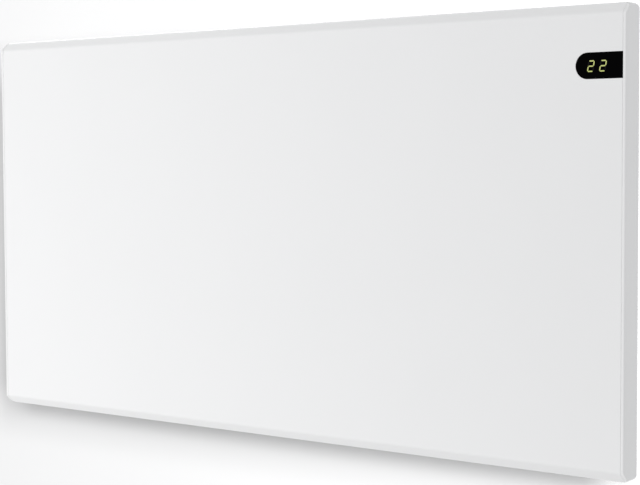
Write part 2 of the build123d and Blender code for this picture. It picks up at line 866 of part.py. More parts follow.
def rear_case():
    """Folded sheet tray behind the cover, with air slots, keyholes and a flange all round."""
    x, z = case_half_x, case_half_z
    outer = box(-x, x, cover_back_y, case_back_y, -z, z)
    outer = fillet(outer.edges().filter_by(Axis.Y), case_bend)
    outer = fillet(outer.faces().sort_by(Axis.Y)[-1].edges(), case_bend / 2)
    sheet = case_sheet
    inner = box(-x + sheet, x - sheet, cover_back_y - 1, case_floor_y, -z + sheet, z - sheet)
    inner = fillet(inner.edges().filter_by(Axis.Y), case_bend - sheet)
    inner = fillet(inner.faces().sort_by(Axis.Y)[-1].edges(), case_bend / 2 - sheet)
    f = case_flange
    flange = box(-x - f, x + f, cover_back_y, cover_back_y + sheet, -z - f, z + f)
    flange = fillet(flange.edges().filter_by(Axis.Y), case_bend)
    case = outer + flange - inner
    for i in range(bead_count):
        bead_z = z - bead_top_drop - i * bead_pitch
        case += bead_form(sheet, case_floor_y - bead_depth, case_floor_y, bead_z)
        case -= bead_form(0.0, case_back_y - bead_depth, case_back_y + 1, bead_z)
    slot_y = (cover_back_y + case_back_y) / 2
    for side in (1, -1):
        case -= slot_row(-x + case_slot_margin, partition_x - 2 * case_slot_pitch, case_slot_pitch,
                         case_slot_length, case_slot_width, slot_y, side * (z - sheet / 2), sheet)
        case -= keyhole(side)
    holes = all_rivet_holes()
    for side in (1, -1):
        for screw_x in cover_screw_xs():
            holes.append(screw_hole("Y", x=screw_x, z=side * flange_screw_z,
                                    start=cover_back_y - 1, stop=cover_back_y + 2))
        for end in (1, -1):
            holes.append(screw_hole("Y", x=end * side_screw_x(), z=side * cap_side_screw_z,
                                    start=cover_back_y - 1, stop=cover_back_y + 2))
    holes.append(rod("Z", gland_thread_radius + hole_clearance, -z - 1, -z + sheet + 1, x=gland_x,
                     y=element_y))
    holes.append(rod("Z", sensor_holder_radius + hole_clearance, -z - 1, -z + sheet + 1, x=sensor_x,
                     y=element_y))
    body_half = switch_body_height / 2 + hole_clearance
    body_half_y = rocker_width / 2 + rocker_side_gap + switch_side_wall + hole_clearance
    holes.append(box(x - sheet - 1, x + 1, element_y - body_half_y, element_y + body_half_y,
                     switch_z - body_half, switch_z + body_half))
    return case - holes


def control_partition():
    """Sheet wall between the heat side and the control side, with a foot on the rear wall."""
    x = partition_x
    top = case_half_z - case_sheet - partition_end_gap
    wall = box(x, x + case_sheet, cover_back_y + partition_front_gap, case_floor_y, -top, top)
    foot = box(x - support_foot, x + case_sheet, case_floor_y - case_sheet, case_floor_y,
               -top + case_bend, top - case_bend)
    holes = [rod("X", bush_radius + hole_clearance, x - 1, x + 2, y=element_y, z=z) for z in leg_zs]
    holes.append(rod("X", cutout_radius + hole_clearance, x - 1, x + 2, y=element_y, z=cutout_z))
    for side in (1, -1):
        holes.append(screw_hole("X", y=element_y, z=cutout_z + side * cutout_screw_offset, start=x - 1,
                                stop=x + 2))
    return wall + foot - holes - all_rivet_holes()


def heat_shield():
    """Hat-shaped sheet between the element and the front cover."""
    y0 = cover_back_y + shield_front_gap
    x0, x1, t = shield_left_x, shield_right_x, shield_sheet
    z0, z1 = shield_low_z, shield_high_z
    shield = box(x0, x1, y0, y0 + t, z0, z1)
    shield += box(x0, x0 + t, y0, case_floor_y, z0, z1)
    shield += box(x1 - t, x1, y0, case_floor_y, z0, z1)
    shield += box(x0 - support_foot, x0 + t, case_floor_y - t, case_floor_y, z0, z1)
    shield += box(x1 - t, x1 + support_foot, case_floor_y - t, case_floor_y, z0, z1)
    holes = [rod("X", shield_hole_radius, x1 - 2, x1 + 2, y=element_y, z=z) for z in leg_zs]
    return shield - holes - all_rivet_holes()


# -------------------------------------------------------------------- element
def heating_tube():
    """Sheathed hairpin tube: two level legs joined by a half turn."""
    high, low = leg_zs
    radius = leg_spacing / 2
    legs = [rod("X", tube_radius, bend_centre_x, tube_end_x, y=element_y, z=z) for z in leg_zs]
    turn = Pos(bend_centre_x, element_y, element_height) * Rot(90, 0, 0) * Torus(radius, tube_radius)
    half = box(bend_centre_x - radius - tube_radius - 1, bend_centre_x, element_y - radius,
               element_y + radius, low - 2 * tube_radius, high + 2 * tube_radius)
    return legs[0] + legs[1] + (turn & half)


def heater_fins():
    """Row of thin plates pressed on both legs of the tube."""
    holes = [rod("X", tube_radius, -fin_thickness, fin_thickness, y=element_y, z=z) for z in leg_zs]
    blank = box(-fin_thickness / 2, fin_thickness / 2, element_y - fin_depth / 2, element_y + fin_depth / 2,
                element_height - fin_height / 2, element_height + fin_height / 2)
    blank = fillet(blank.edges().filter_by(Axis.X), 3.0)
    plate = blank - holes
    count = int((fin_last_x - fin_first_x) / fin_pitch) + 1
    return group([Pos(fin_first_x + i * fin_pitch, 0, 0) * plate for i in range(count)])


def element_support(x):
    """Upright plate with a foot on the rear wall, holding both legs in bushes."""
    z0 = element_height - fin_height / 2 - support_margin
    z1 = element_height + fin_height / 2 + support_margin
    plate = box(x, x + support_sheet, element_y - fin_depth / 2, case_floor_y, z0, z1)
    foot = box(x - support_foot, x + support_sheet, case_floor_y - support_sheet, case_floor_y, z0, z1)
    holes = [rod("X", bush_radius, x - 1, x + 2, y=element_y, z=z) for z in leg_zs]
    return plate + foot - holes - all_rivet_holes()


def element_bushes():
    """Collared ceramic bushes in the supports and in the partition."""
    seats = [(support_left_x, support_sheet), (support_right_x, support_sheet), (partition_x, case_sheet)]
    solids = []
    for x, sheet in seats:
        for z in leg_zs:
            body = rod("X", bush_radius, x - bush_length / 2, x + bush_length / 2, y=element_y, z=z)
            collar = rod("X", bush_collar, x + sheet, x + sheet + bush_collar_thickness, y=element_y, z=z)
            bore = rod("X", tube_radius, x - bush_length, x + bush_length, y=element_y, z=z)
            solids.append(body + collar - bore)
    return group(solids)


def element_studs():
    """Terminal studs in the ends of the tube."""
    return group([rod("X", stud_radius, tube_end_x, tube_end_x + stud_length, y=element_y, z=z)
                  for z in leg_zs])


def thermal_cutout():
    """Over-temperature cut-out: its can reaches through the partition into the heat side."""
    x = partition_x
    seat = x + case_sheet
    can = rod("X", cutout_radius, x - cutout_sense_length, seat + cutout_back_length, y=element_y,
              z=cutout_z)
    flange = box(seat, seat + cutout_flange_thickness, element_y - cutout_flange_width / 2,
                 element_y + cutout_flange_width / 2, cutout_z - cutout_flange_height / 2,
                 cutout_z + cutout_flange_height / 2)
    holes = [screw_hole("X", y=element_y, z=cutout_z + s * cutout_screw_offset, start=seat - 1,
                        stop=seat + 2)
             for s in (1, -1)]
    return can + flange - holes


def cutout_screws():
    """Two screws with nuts behind the partition that hold the cut-out."""
    seat = partition_x + case_sheet + cutout_flange_thickness
    solids = []
    for side in (1, -1):
        z = cutout_z + side * cutout_screw_offset
        head = rod("X", small_screw_head_radius, seat, seat + screw_head_height, y=element_y, z=z)
        shank = rod("X", screw_radius, partition_x - 3.0, seat, y=element_y, z=z)
        nut = rod("X", screw_head_radius, partition_x - 2.4, partition_x, y=element_y, z=z)
        solids.append(head + shank + nut)
    return group(solids)


def blade_xs():
    """X span of the cut-out's blades."""
    start = partition_x + case_sheet + cutout_back_length
    return start, start + blade_length


def blade_terminals():
    """Flat blades on the backs of the cut-out and of the power switch."""
    half, half_width_z = blade_thickness / 2, blade_width / 2
    x0, x1 = blade_xs()
    solids = []
    for side in (1, -1):
        y = element_y + side * cutout_radius / 2
        solids.append(box(x0, x1, y - half, y + half, cutout_z - half_width_z, cutout_z + half_width_z))
    x1 = case_half_x - switch_body_depth
    for side in (1, -1):
        z = switch_z + side * switch_blade_offset
        solids.append(box(x1 - blade_length, x1, element_y - half, element_y + half,
                          z - half_width_z, z + half_width_z))
    return group(solids)


# ---------------------------------------------------------------- power board
def power_board():
    """Mains board on spacers on the case's rear wall."""
    x, z = power_board_x, power_board_z
    return box(x, x + power_board_width, power_face_y, power_board_y, z, z + power_board_height)


def board_spacers():
    """Four spacers between the power board and the case."""
    xs = (power_board_x + spacer_inset, power_board_x + power_board_width - spacer_inset)
    zs = (power_board_z + spacer_inset, power_board_z + power_board_height - spacer_inset)
    return group([rod("Y", spacer_radius, power_board_y, case_floor_y, x=x, z=z) for x in xs for z in zs])


def on_board(dx, dz, width, height, depth):
    """Block on the front of the power board, placed from the board's lower left corner."""
    x, z = power_board_x + dx, power_board_z + dz
    return box(x, x + width, power_face_y - depth, power_face_y, z, z + height)


def relay():
    """Relay that switches the element."""
    return fillet(on_board(*relay_block).edges().filter_by(Axis.Y), relay_corner)


def transformer():
    """Small mains transformer: core with its bobbin through it."""
    return on_board(*transformer_core) + on_board(*transformer_bobbin)


def capacitor():
    """Film capacitor."""
    return fillet(on_board(*capacitor_block).edges().filter_by(Axis.Y), relay_corner)


def board_connectors():
    """Row of four plug-in terminals at the board's lower edge, and the ribbon lead's header."""
    first, pitch = board_terminal_first, board_terminal_pitch
    base = board_mouth_top - board_mouth_height
    block = on_board(first - pitch / 2, base, 4 * pitch, board_mouth_height + 3.0, 2 * board_lead_depth)
    mouths = []
    for i in range(4):
        mouth = on_board(first + i * pitch - board_mouth_width / 2, base - 1.0, board_mouth_width,
                         board_mouth_height + 1.0, 2 * board_lead_depth - 2.0)
        mouths.append(Pos(0, -1.0, 0) * mouth)
    header = on_board(ribbon_x0() - 1.0 - power_board_x, ribbon_header_dz, ribbon_width + 2.0,
                      ribbon_header_height, ribbon_header_depth)
    return group([block - mouths, header])


def ribbon_x0():
    """Left edge of the ribbon lead."""
    return housing_left_x + housing_wall + 8.0


def ribbon_route():
    """(y, z) points of the ribbon lead, from the control board to its header."""
    start_y = control_board_y + board_thickness
    z0 = housing_low_z + 8.0
    header_z = power_board_z + ribbon_header_dz + ribbon_header_height / 2
    header_y = power_face_y - ribbon_header_depth
    drop_y = (cover_back_y + header_y) / 2
    return [(start_y, z0), (drop_y, z0), (drop_y, header_z), (header_y, header_z)]


def ribbon_lead():
    """Flat lead from the control board, through the housing's slot, to the power board."""
    x = ribbon_x0() + ribbon_width / 2
    path = FilletPolyline(*[(x, y, z) for y, z in ribbon_route()], radius=3.0)
    start = path ^ 0
    section = Plane(origin=start.position, x_dir=(1, 0, 0), z_dir=start.z_axis.direction)
    return sweep(section * Rectangle(ribbon_width, ribbon_thickness), path=path)


# ---------------------------------------------------- terminals, gland, sensor
def way_xs():
    """Middles of the terminal block's ways."""
    step = block_width / block_ways
    return [block_x + step * (i + 0.5) for i in range(block_ways)]


def terminal_block():
    """Three-way terminal block on the case's rear wall."""
    body = box(block_x, block_x + block_width, case_floor_y - block_depth, case_floor_y,
               block_z, block_z + block_height)
    y = case_floor_y - block_depth / 2
    cuts = []
    for x in way_xs():
        cuts.append(rod("Z", block_mouth_radius, block_z - 1, block_z + block_mouth_depth, x=x, y=y))
        cuts.append(rod("Y", block_screw_radius + hole_clearance, case_floor_y - block_depth - 1,
                        case_floor_y - block_depth + block_screw_height, x=x, z=block_screw_z()))
    return body - cuts


def block_screw_z():
    """Height of the clamp screws, half way up the block."""
    return block_z + block_height / 2


def terminal_screws():
    """Clamp screws, flush in the front of the terminal block."""
    y0 = case_floor_y - block_depth
    z = block_screw_z()
    solids = []
    for x in way_xs():
        head = rod("Y", block_screw_radius, y0, y0 + block_screw_height, x=x, z=z)
        slot = box(x - block_screw_radius, x + block_screw_radius, y0 - 1, y0 + 0.5, z - 0.4, z + 0.4)
        solids.append(head - slot)
    return group(solids)


def earth_stud():
    """Threaded stud welded to the case, with a plate foot."""
    foot = rod("Y", earth_stud_radius + 2.0, earth_tag_y(), case_floor_y, x=earth_x, z=earth_z)
    return foot + rod("Y", earth_stud_radius, case_floor_y - earth_stud_length, earth_tag_y(),
                      x=earth_x, z=earth_z)


def earth_tag_y():
    """Front face of the stud's foot, where the earth tag and nut sit."""
    return case_floor_y - earth_foot_thickness


def earth_nut():
    """Nut that clamps the earth lead's tag."""
    y = earth_tag_y() - earth_tag_thickness
    return hexagon_nut("Y", earth_nut_flats, earth_stud_radius, y - earth_nut_height, y, x=earth_x,
                       z=earth_z)


def earth_tag():
    """Ring tag of the earth lead."""
    y1 = earth_tag_y()
    y0 = y1 - earth_tag_thickness
    tag = rod("Y", earth_tag_radius, y0, y1, x=earth_x, z=earth_z)
    tag += box(earth_x - earth_tag_width / 2, earth_x + earth_tag_width / 2, y0, y1,
               earth_z, earth_z + earth_tag_length)
    return tag - rod("Y", earth_stud_radius, y1 - 2.0, y1 + 1.0, x=earth_x, z=earth_z)


def cable_gland():
    """Body of the lead's gland in the case's lower wall, with a bore straight through."""
    z = -case_half_z
    flange = rod("Z", gland_flange_radius, z - gland_flange_thickness, z, x=gland_x, y=element_y)
    flange = fillet(flange.edges().group_by(Axis.Z)[0], 0.8)
    tube = rod("Z", gland_thread_radius, z, z + gland_inner_length, x=gland_x, y=element_y)
    bore = rod("Z", gland_bore_radius, z - 20, z + 20, x=gland_x, y=element_y)
    return flange + tube - bore


def gland_nut():
    """Nut inside the case that holds the gland."""
    z = -case_half_z + case_sheet
    return hexagon_nut("Z", gland_nut_flats, gland_thread_radius, z, z + gland_nut_height, x=gland_x,
                       y=element_y)


def gland_cap():
    """Domed clamping nut below the gland's flange."""
    z1 = -case_half_z - gland_flange_thickness
    z0 = z1 - gland_cap_height
    dome = rod("Z", gland_cap_radius, z0, z1, x=gland_x, y=element_y)
    dome = fillet(dome.edges().group_by(Axis.Z)[0], 3.5)
    return dome - rod("Z", gland_cap_bore, z0 - 1, z1 + 1, x=gland_x, y=element_y)


def sensor_holder():
    """Grommet in the case's lower wall that carries the room sensor."""
    z = -case_half_z
    body = rod("Z", sensor_holder_radius, z - sensor_holder_flange_thickness, z + sensor_stem,
               x=sensor_x, y=element_y)
    flange = rod("Z", sensor_holder_flange, z - sensor_holder_flange_thickness, z, x=sensor_x, y=element_y)
    return body + flange - rod("Z", sensor_radius, z - 5, z + 5, x=sensor_x, y=element_y)


def room_sensor():
    """Bead sensor that looks out below the case."""
    z = -case_half_z
    bead = Pos(sensor_x, element_y, z - sensor_reach) * Sphere(sensor_radius)
    return rod("Z", sensor_radius, z - sensor_reach, z + sensor_stem, x=sensor_x, y=element_y) + bead


# --------------------------------------------------------------- power switch
def switch_inner_half_z():
    """Half the height of the rocker's opening."""
    return rocker_half_length + rocker_end_gap


def power_switch_frame():
    """Snap-in frame of the rocker switch in the case's right side wall."""
    x = case_half_x
    y, z = element_y, switch_z
    bezel = box(x, x + switch_bezel_thickness, y - switch_bezel_width / 2, y + switch_bezel_width / 2,
                z - switch_bezel_height / 2, z + switch_bezel_height / 2)
    bezel = fillet(bezel.faces().sort_by(Axis.X)[-1].edges(), 0.6)
    half_y = rocker_width / 2 + rocker_side_gap
    body = box(x - switch_body_depth, x, y - half_y - switch_side_wall, y + half_y + switch_side_wall,
               z - switch_body_height / 2, z + switch_body_height / 2)
    half_z = switch_inner_half_z()
    opening = box(x - switch_body_depth + switch_wall, x + 10, y - half_y, y + half_y, z - half_z,
                  z + half_z)
    pins = rod("Y", rocker_pin_radius + rocker_pin_clearance, y - half_y - switch_side_wall - 1,
               y + half_y + switch_side_wall + 1, x=pivot_rocker_x, z=z)
    return bezel + body - opening - pins


def power_rocker():
    """Rocker with two faces at an angle, tipped to its off position."""
    h = rocker_half_length
    rise = rocker_crown + h * math.tan(math.radians(rocker_swing))
    points = [(rocker_crown, 0), (rise, h), (0.5, h), (-3.0, 5.0), (-5.0, 0), (-3.0, -5.0), (0.5, -h),
              (rise, -h)]
    half = rocker_width / 2
    body = extrude(make_face(Polyline(*[(x, -half, z) for x, z in points], close=True)),
                   amount=rocker_width, dir=(0, 1, 0))
    reach = half + rocker_side_gap + switch_side_wall
    pin = rod("Y", rocker_pin_radius, -reach, reach)
    rocker = body + pin
    tilt = math.radians(rocker_swing)
    ring_x = rocker_crown + 7.0 * math.tan(tilt)
    circle = Pos(ring_x, 0, -7.0) * Rot(0, 90 - rocker_swing, 0) * (Cylinder(2.2, 0.6) - Cylinder(1.5, 0.6))
    line = Pos(ring_x, 0, 7.0) * Rot(0, 90 + rocker_swing, 0) * Box(4.4, 0.8, 0.6)
    rocker = rocker - circle - line
    return Pos(pivot_rocker_x, element_y, switch_z) * Rot(0, -rocker_swing, 0) * rocker


# ----------------------------------------------------------------- wall bracket
def wall_slots():
    """Slots for the four wall screws, long way along X."""
    face = SlotOverall(wall_slot_length, wall_slot_width)
    cutter = Rot(90, 0, 0) * extrude(face, amount=10, both=True)
    return [Pos(sx * screw_spacing_x / 2, 0, sz * screw_spacing_z / 2) * cutter for sx in (1, -1)
            for sz in (1, -1)]


def hook_opening(x0, x1):
    """Open path of the tilt pin in the hook: in from the front, then down to its seat."""
    r = pin_radius + pin_clearance
    seat = rod("X", r, x0, x1, y=pivot_y, z=pivot_z)
    drop = box(x0, x1, pivot_y - r, pivot_y + r, pivot_z, pivot_z + hook_lift)
    top = rod("X", r, x0, x1, y=pivot_y, z=pivot_z + hook_lift)
    mouth = box(x0, x1, -hook_flange_depth - 1, pivot_y, pivot_z + hook_lift - r, pivot_z + hook_lift + r)
    return seat + drop + top + mouth


def bracket_upright_right():
    """Angle-section upright with an open hook at the foot of its outer flange."""
    x1 = hook_x
    x0 = x1 - upright_width
    t = bracket_sheet
    web = box(x0, x1, -t, 0, upright_bottom_z, upright_top_z)
    flange_points = [(0, hook_flange_end_z), (-hook_flange_depth + hook_chamfer, hook_flange_end_z),
                     (-hook_flange_depth, hook_flange_end_z + hook_chamfer),
                     (-hook_flange_depth, upright_top_z), (0, upright_top_z)]
    flange = plate_x(flange_points, x1 - t, x1)
    tab = box(x1 - t, x1 + stop_tab_width, -t, 0, upright_bottom_z, stop_tab_top_z)
    upright = web + flange + tab
    upright -= hook_opening(x1 - t - 1, x1 + 1)
    return upright - wall_slots()


def rail_half_length():
    """Half length of the rails, which lap over the uprights' webs."""
    return hook_x - upright_width + rail_lap


def top_rail():
    """Upper rail: web on the uprights, shelf forward for the locks."""
    half = rail_half_length()
    t = bracket_sheet
    web = box(-half, half, -2 * t, -t, top_rail_z - rail_height, top_rail_z)
    shelf = box(-half, half, -shelf_depth, -t, top_rail_z - t, top_rail_z)
    rail = web + shelf
    holes = [rod("Z", lock_shaft_radius + pin_clearance, top_rail_z - t - 1, top_rail_z + 1, x=side * lock_x,
                 y=-lock_setback) for side in (1, -1)]
    return rail - holes


def bottom_rail():
    """Lower rail with a short stiffening flange."""
    half = rail_half_length()
    t = bracket_sheet
    web = box(-half, half, -2 * t, -t, bottom_rail_z - rail_height, bottom_rail_z)
    flange = box(-half, half, -bottom_rail_flange, -t, bottom_rail_z - t, bottom_rail_z)
    return web + flange


def rubber_buffers():
    """Two rubber posts on the upper rail that the case's rear wall rests against."""
    x = rail_half_length() - buffer_inset_x
    z = top_rail_z - rail_height / 2
    post = rod("Y", buffer_radius, case_back_y, -2 * bracket_sheet, x=x, z=z)
    return group(both_sides(post))


def hinge_ear_right():
    """Folded ear on the case's rear wall that carries the tilt pin, with a stop heel below."""
    x0 = hook_x + ear_gap
    x1 = ear_outer_x()
    half = ear_foot_height / 2
    heel_y = pivot_y + ear_heel_forward
    heel_z = pivot_z - ear_heel_drop
    plate = plate_x([(case_back_y, pivot_z + half), (case_back_y, pivot_z - half),
                     (heel_y - ear_heel_width, heel_z),
                     (heel_y, heel_z), (pivot_y + ear_radius, pivot_z), (pivot_y, pivot_z + ear_radius)],
                    x0, x1)
    plate += rod("X", ear_radius, x0, x1, y=pivot_y, z=pivot_z)
    foot = box(x0, x1 + ear_foot, case_back_y, case_back_y + ear_sheet, pivot_z - half, pivot_z + half)
    bore = rod("X", pin_radius, x0 - 1, x1 + 1, y=pivot_y, z=pivot_z)
    return plate + foot - bore - all_rivet_holes()


def hinge_pins():
    """Headed pins in the ears, lying in the bracket's hooks."""
    x_ear = ear_outer_x()
    x_end = hook_x - bracket_sheet - ear_gap
    pin = rod("X", pin_radius, x_end, x_ear, y=pivot_y, z=pivot_z)
    head = rod("X", pin_head_radius, x_ear, x_ear + pin_head_thickness, y=pivot_y, z=pivot_z)
    end = rod("X", pin_head_radius, x_end - pin_head_thickness, x_end, y=pivot_y, z=pivot_z)
    return group(both_sides(pin + head + end))


# ----------------------------------------------------------------------- locks
def lock_right():
    """Quarter-turn lock, open: its nib lies along the wall, pointing away from the middle."""
    z0 = top_rail_z + lock_running_gap
    shaft_low = top_rail_z - bracket_sheet - lock_running_gap - lock_clip_thickness - lock_tail
    groove_z1 = top_rail_z - bracket_sheet - lock_running_gap
    body = rod("Z", lock_shaft_radius, shaft_low, z0)
    groove = ring("Z", lock_shaft_radius + 1, lock_shaft_radius - lock_groove_depth,
                  groove_z1 - lock_clip_thickness, groove_z1)
    body -= groove
    collar = rod("Z", lock_collar_radius, z0, z0 + lock_collar_height)
    boss = rod("Z", lock_neck_width / 2 + lock_boss_wall, z0, lock_nib_z + lock_head_height / 2 + lock_step)
    neck = box(0, lock_reach, -lock_neck_width / 2, lock_neck_width / 2,
               lock_nib_z - lock_neck_height / 2, lock_nib_z + lock_neck_height / 2)
    head = box(lock_reach - lock_head_length, lock_reach, -lock_neck_width / 2, lock_neck_width / 2,
               lock_nib_z - lock_head_height / 2, lock_nib_z + lock_head_height / 2)
    head = fillet(head.faces().sort_by(Axis.X)[-1].edges().filter_by(Axis.Z), 1.0)
    grip_z = lock_nib_z + lock_head_height / 2 + lock_step
    grip = box(-lock_thumb_length / 2, lock_thumb_length / 2, -lock_thumb_thickness / 2,
               lock_thumb_thickness / 2, grip_z, lock_top_z)
    grip = fillet(grip.edges().filter_by(Axis.Z) + grip.faces().sort_by(Axis.Z)[-1].edges(), 1.2)
    return Pos(lock_x, -lock_setback, 0) * (body + collar + boss + neck + head + grip)


def lock_clip_right():
    """Open retaining ring in the lock's groove, under the shelf."""
    z1 = top_rail_z - bracket_sheet - lock_running_gap
    z0 = z1 - lock_clip_thickness
    clip = ring("Z", lock_clip_radius, lock_shaft_radius - lock_groove_depth, z0, z1)
    clip -= box(0, lock_clip_radius + 1, -1.8, 1.8, z0 - 1, z1 + 1)
    return Pos(lock_x, -lock_setback, 0) * clip


# ---------------------------------------------------------------- internal leads
def internal_leads():
    """Insulated leads of the control side, each along its own route."""
    block_y = case_floor_y - block_depth / 2
    block_top = block_z + block_height
    ways = way_xs()
    blade_x = case_half_x - switch_body_depth - blade_length
    lane_x = blade_x - lead_stand_off
    upper, lower = leg_zs
    stud_x = tube_end_x + stud_length
    turn_x = stud_x + lead_stand_off
    blades_x = blade_xs()[1]
    blade_y = cutout_radius / 2
    low_blade_z, high_blade_z = switch_z - switch_blade_offset, switch_z + switch_blade_offset
    mouth_z = power_board_z + board_mouth_top
    below_board = power_board_z - 2 * lead_stand_off
    terminal_y = power_face_y - board_lead_depth
    terminals = [power_board_x + board_terminal_first + i * board_terminal_pitch for i in range(4)]
    tag_top = earth_z + earth_tag_length
    tag_y = earth_tag_y() - earth_tag_thickness / 2
    tag_rise = tag_top + 2 * lead_stand_off
    sensor_top = -case_half_z + sensor_stem
    sensor_lane_x, sensor_lane_y = sensor_x + 8.0, element_y - 8.0
    routes = [
        [(ways[2], block_y, block_top), (ways[2], block_y, block_top + 16.0),
         (lane_x, element_y, low_blade_z), (blade_x, element_y, low_blade_z)],
        [(blade_x, element_y, high_blade_z), (lane_x, element_y, high_blade_z), (lane_x, element_y, upper),
         (terminals[3], terminal_y, below_board), (terminals[3], terminal_y, mouth_z)],
        [(ways[1], block_y, block_top), (ways[1], block_y, block_top + 16.0), (turn_x, element_y, lower),
         (stud_x, element_y, lower)],
        [(stud_x, element_y, upper), (turn_x, element_y, upper), (turn_x, element_y - blade_y, cutout_z),
         (blades_x, element_y - blade_y, cutout_z)],
        [(blades_x, element_y + blade_y, cutout_z), (turn_x + 3.0, element_y + blade_y, cutout_z),
         (terminals[2], terminal_y, cutout_z + lead_stand_off), (terminals[2], terminal_y, mouth_z)],
        [(sensor_x, element_y, sensor_top), (sensor_x, element_y, sensor_top + lead_stand_off),
         (sensor_lane_x, sensor_lane_y, sensor_top + 3 * lead_stand_off),
         (sensor_lane_x, sensor_lane_y, power_board_z - 3.5 * lead_stand_off),
         (terminals[1], terminal_y, power_board_z - 1.2 * lead_stand_off),
         (terminals[1], terminal_y, mouth_z)],
        [(earth_x, tag_y, tag_top), (earth_x, tag_y, tag_rise), (ways[0], tag_y, tag_rise),
         (ways[0], block_y, block_top + 1.2 * lead_stand_off), (ways[0], block_y, block_top)],
    ]
    return group([lead(points) for points in routes])


# ------------------------------------------------------------------------ nodes
def build_nodes():
    """Every piece of the heater by the name of its node."""
    cap = right_end_cap()
    upright = bracket_upright_right()
    ear = hinge_ear_right()
    lock = lock_right()
    clip = lock_clip_right()
    nodes = {
        "front_cover": front_cover(),
        "left_end_cap": mirrored(cap),
        "right_end_cap": cap,
        "flange_screws": flange_screws(),
        "cover_screws": cover_screws(),
        "display_window": display_window(),
        "display_segments_lit": group(display_segments("abged")),
        "display_segments_dark": group(display_segments("cf")),
        "display_module": display_module(),
        "control_housing": control_housing(),
        "control_board": control_board(),
        "push_switches": push_switches(),
        "button_minus": button(button_xs[0], "minus"),
        "button_plus": button(button_xs[1], "plus"),
        "button_set": button(button_xs[2], "set"),
        "rear_case": rear_case(),
        "case_rivets": case_rivets(),
        "control_partition": control_partition(),
        "heat_shield": heat_shield(),
        "heating_tube": heating_tube(),
        "heater_fins": heater_fins(),
        "element_support_left": element_support(support_left_x),
        "element_support_right": element_support(support_right_x),
        "element_bushes": element_bushes(),
        "element_studs": element_studs(),
        "thermal_cutout": thermal_cutout(),
        "cutout_screws": cutout_screws(),
        "blade_terminals": blade_terminals(),
        "power_board": power_board(),
        "board_spacers": board_spacers(),
        "relay": relay(),
        "transformer": transformer(),
        "capacitor": capacitor(),
        "board_connectors": board_connectors(),
        "ribbon_lead": ribbon_lead(),
        "terminal_block": terminal_block(),
        "terminal_screws": terminal_screws(),
        "earth_stud": earth_stud(),
        "earth_nut": earth_nut(),
        "earth_tag": earth_tag(),
        "cable_gland": cable_gland(),
        "gland_nut": gland_nut(),
        "gland_cap": gland_cap(),
        "sensor_holder": sensor_holder(),
        "room_sensor": room_sensor(),
        "power_switch_frame": power_switch_frame(),
        "power_rocker": power_rocker(),
        "internal_leads": internal_leads(),
        "bracket_upright_left": mirrored(upright),
        "bracket_upright_right": upright,
        "bracket_top_rail": top_rail(),
        "bracket_bottom_rail": bottom_rail(),
        "rubber_buffers": rubber_buffers(),
        "hinge_ear_left": mirrored(ear),
        "hinge_ear_right": ear,
        "hinge_pins": hinge_pins(),
        "lock_left": mirrored(lock),
        "lock_right": lock,
        "lock_clip_left": mirrored(clip),
        "lock_clip_right": clip,
    }
    return nodes


os.makedirs("parts", exist_ok=True)
for name, solid in build_nodes().items():
    export_step(solid, f"parts/{name}.step")
    print(f"{name}: {len(solid.solids())} solid(s), {solid.volume:.1f} mm3")
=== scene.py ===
"""Looks of a wall panel convector heater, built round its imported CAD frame.

The shared frame is in metres: X runs right as seen from the room, Y into the wall, Z up. The
origin is the middle of the four wall-screw slots on the wall plane, so the panel hangs in front
of it at -Y. The forms made here are written in millimetres of that frame, the studio in metres.
"""
import logging
import math
from dataclasses import dataclass
from enum import Enum
from typing import Sequence

import bmesh
import bpy
from mathutils import Matrix, Vector


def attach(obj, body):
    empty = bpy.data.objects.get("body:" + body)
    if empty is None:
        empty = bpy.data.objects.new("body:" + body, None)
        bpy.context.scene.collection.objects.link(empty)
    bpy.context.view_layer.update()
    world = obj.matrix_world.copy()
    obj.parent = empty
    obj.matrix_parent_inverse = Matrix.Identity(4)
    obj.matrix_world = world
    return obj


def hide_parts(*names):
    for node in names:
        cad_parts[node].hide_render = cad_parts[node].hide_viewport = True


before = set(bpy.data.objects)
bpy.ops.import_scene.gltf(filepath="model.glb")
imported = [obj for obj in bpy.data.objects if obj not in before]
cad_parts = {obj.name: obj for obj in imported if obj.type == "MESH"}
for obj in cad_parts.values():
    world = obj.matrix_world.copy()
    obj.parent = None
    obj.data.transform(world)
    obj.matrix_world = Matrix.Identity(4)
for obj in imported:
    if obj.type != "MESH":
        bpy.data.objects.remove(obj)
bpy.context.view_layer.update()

log = logging.getLogger("heater")

MM = 0.001
Colour = tuple[float, float, float]
Point = tuple[float, float, float]
Inputs = dict[int | str, object]
Socket = bpy.types.NodeSocket
Piece = bpy.types.Object

COAT_ROUGHNESS = 0.12
LEAST_ROUGHNESS = 0.02
NOISE_SPAN = (0.3, 0.7)
SCORCH_SHARE = 0.45
MARK_CORE = 0.6
MARK_SINK = -12.0
SMOOTH_UP_TO = math.radians(38.0)
BUTTON_XS = (300.0, 313.0, 326.0)


def shown(item: Piece) -> Piece:
    """Puts a new object into the scene.

    Args:
        item: The object.

    Returns:
        The same object.
    """
    bpy.context.scene.collection.objects.link(item)
    return item


# ------------------------------------------------------------------------------------ finishes
class Grain(Enum):
    """What the fine relief of a surface looks like."""

    NONE = "none"
    ORANGE_PEEL = "orange_peel"
    SPARKED = "sparked"
    BRUSHED_X = "brushed_x"
    BRUSHED_Z = "brushed_z"
    SPANGLE = "spangle"
    TRACKS = "tracks"


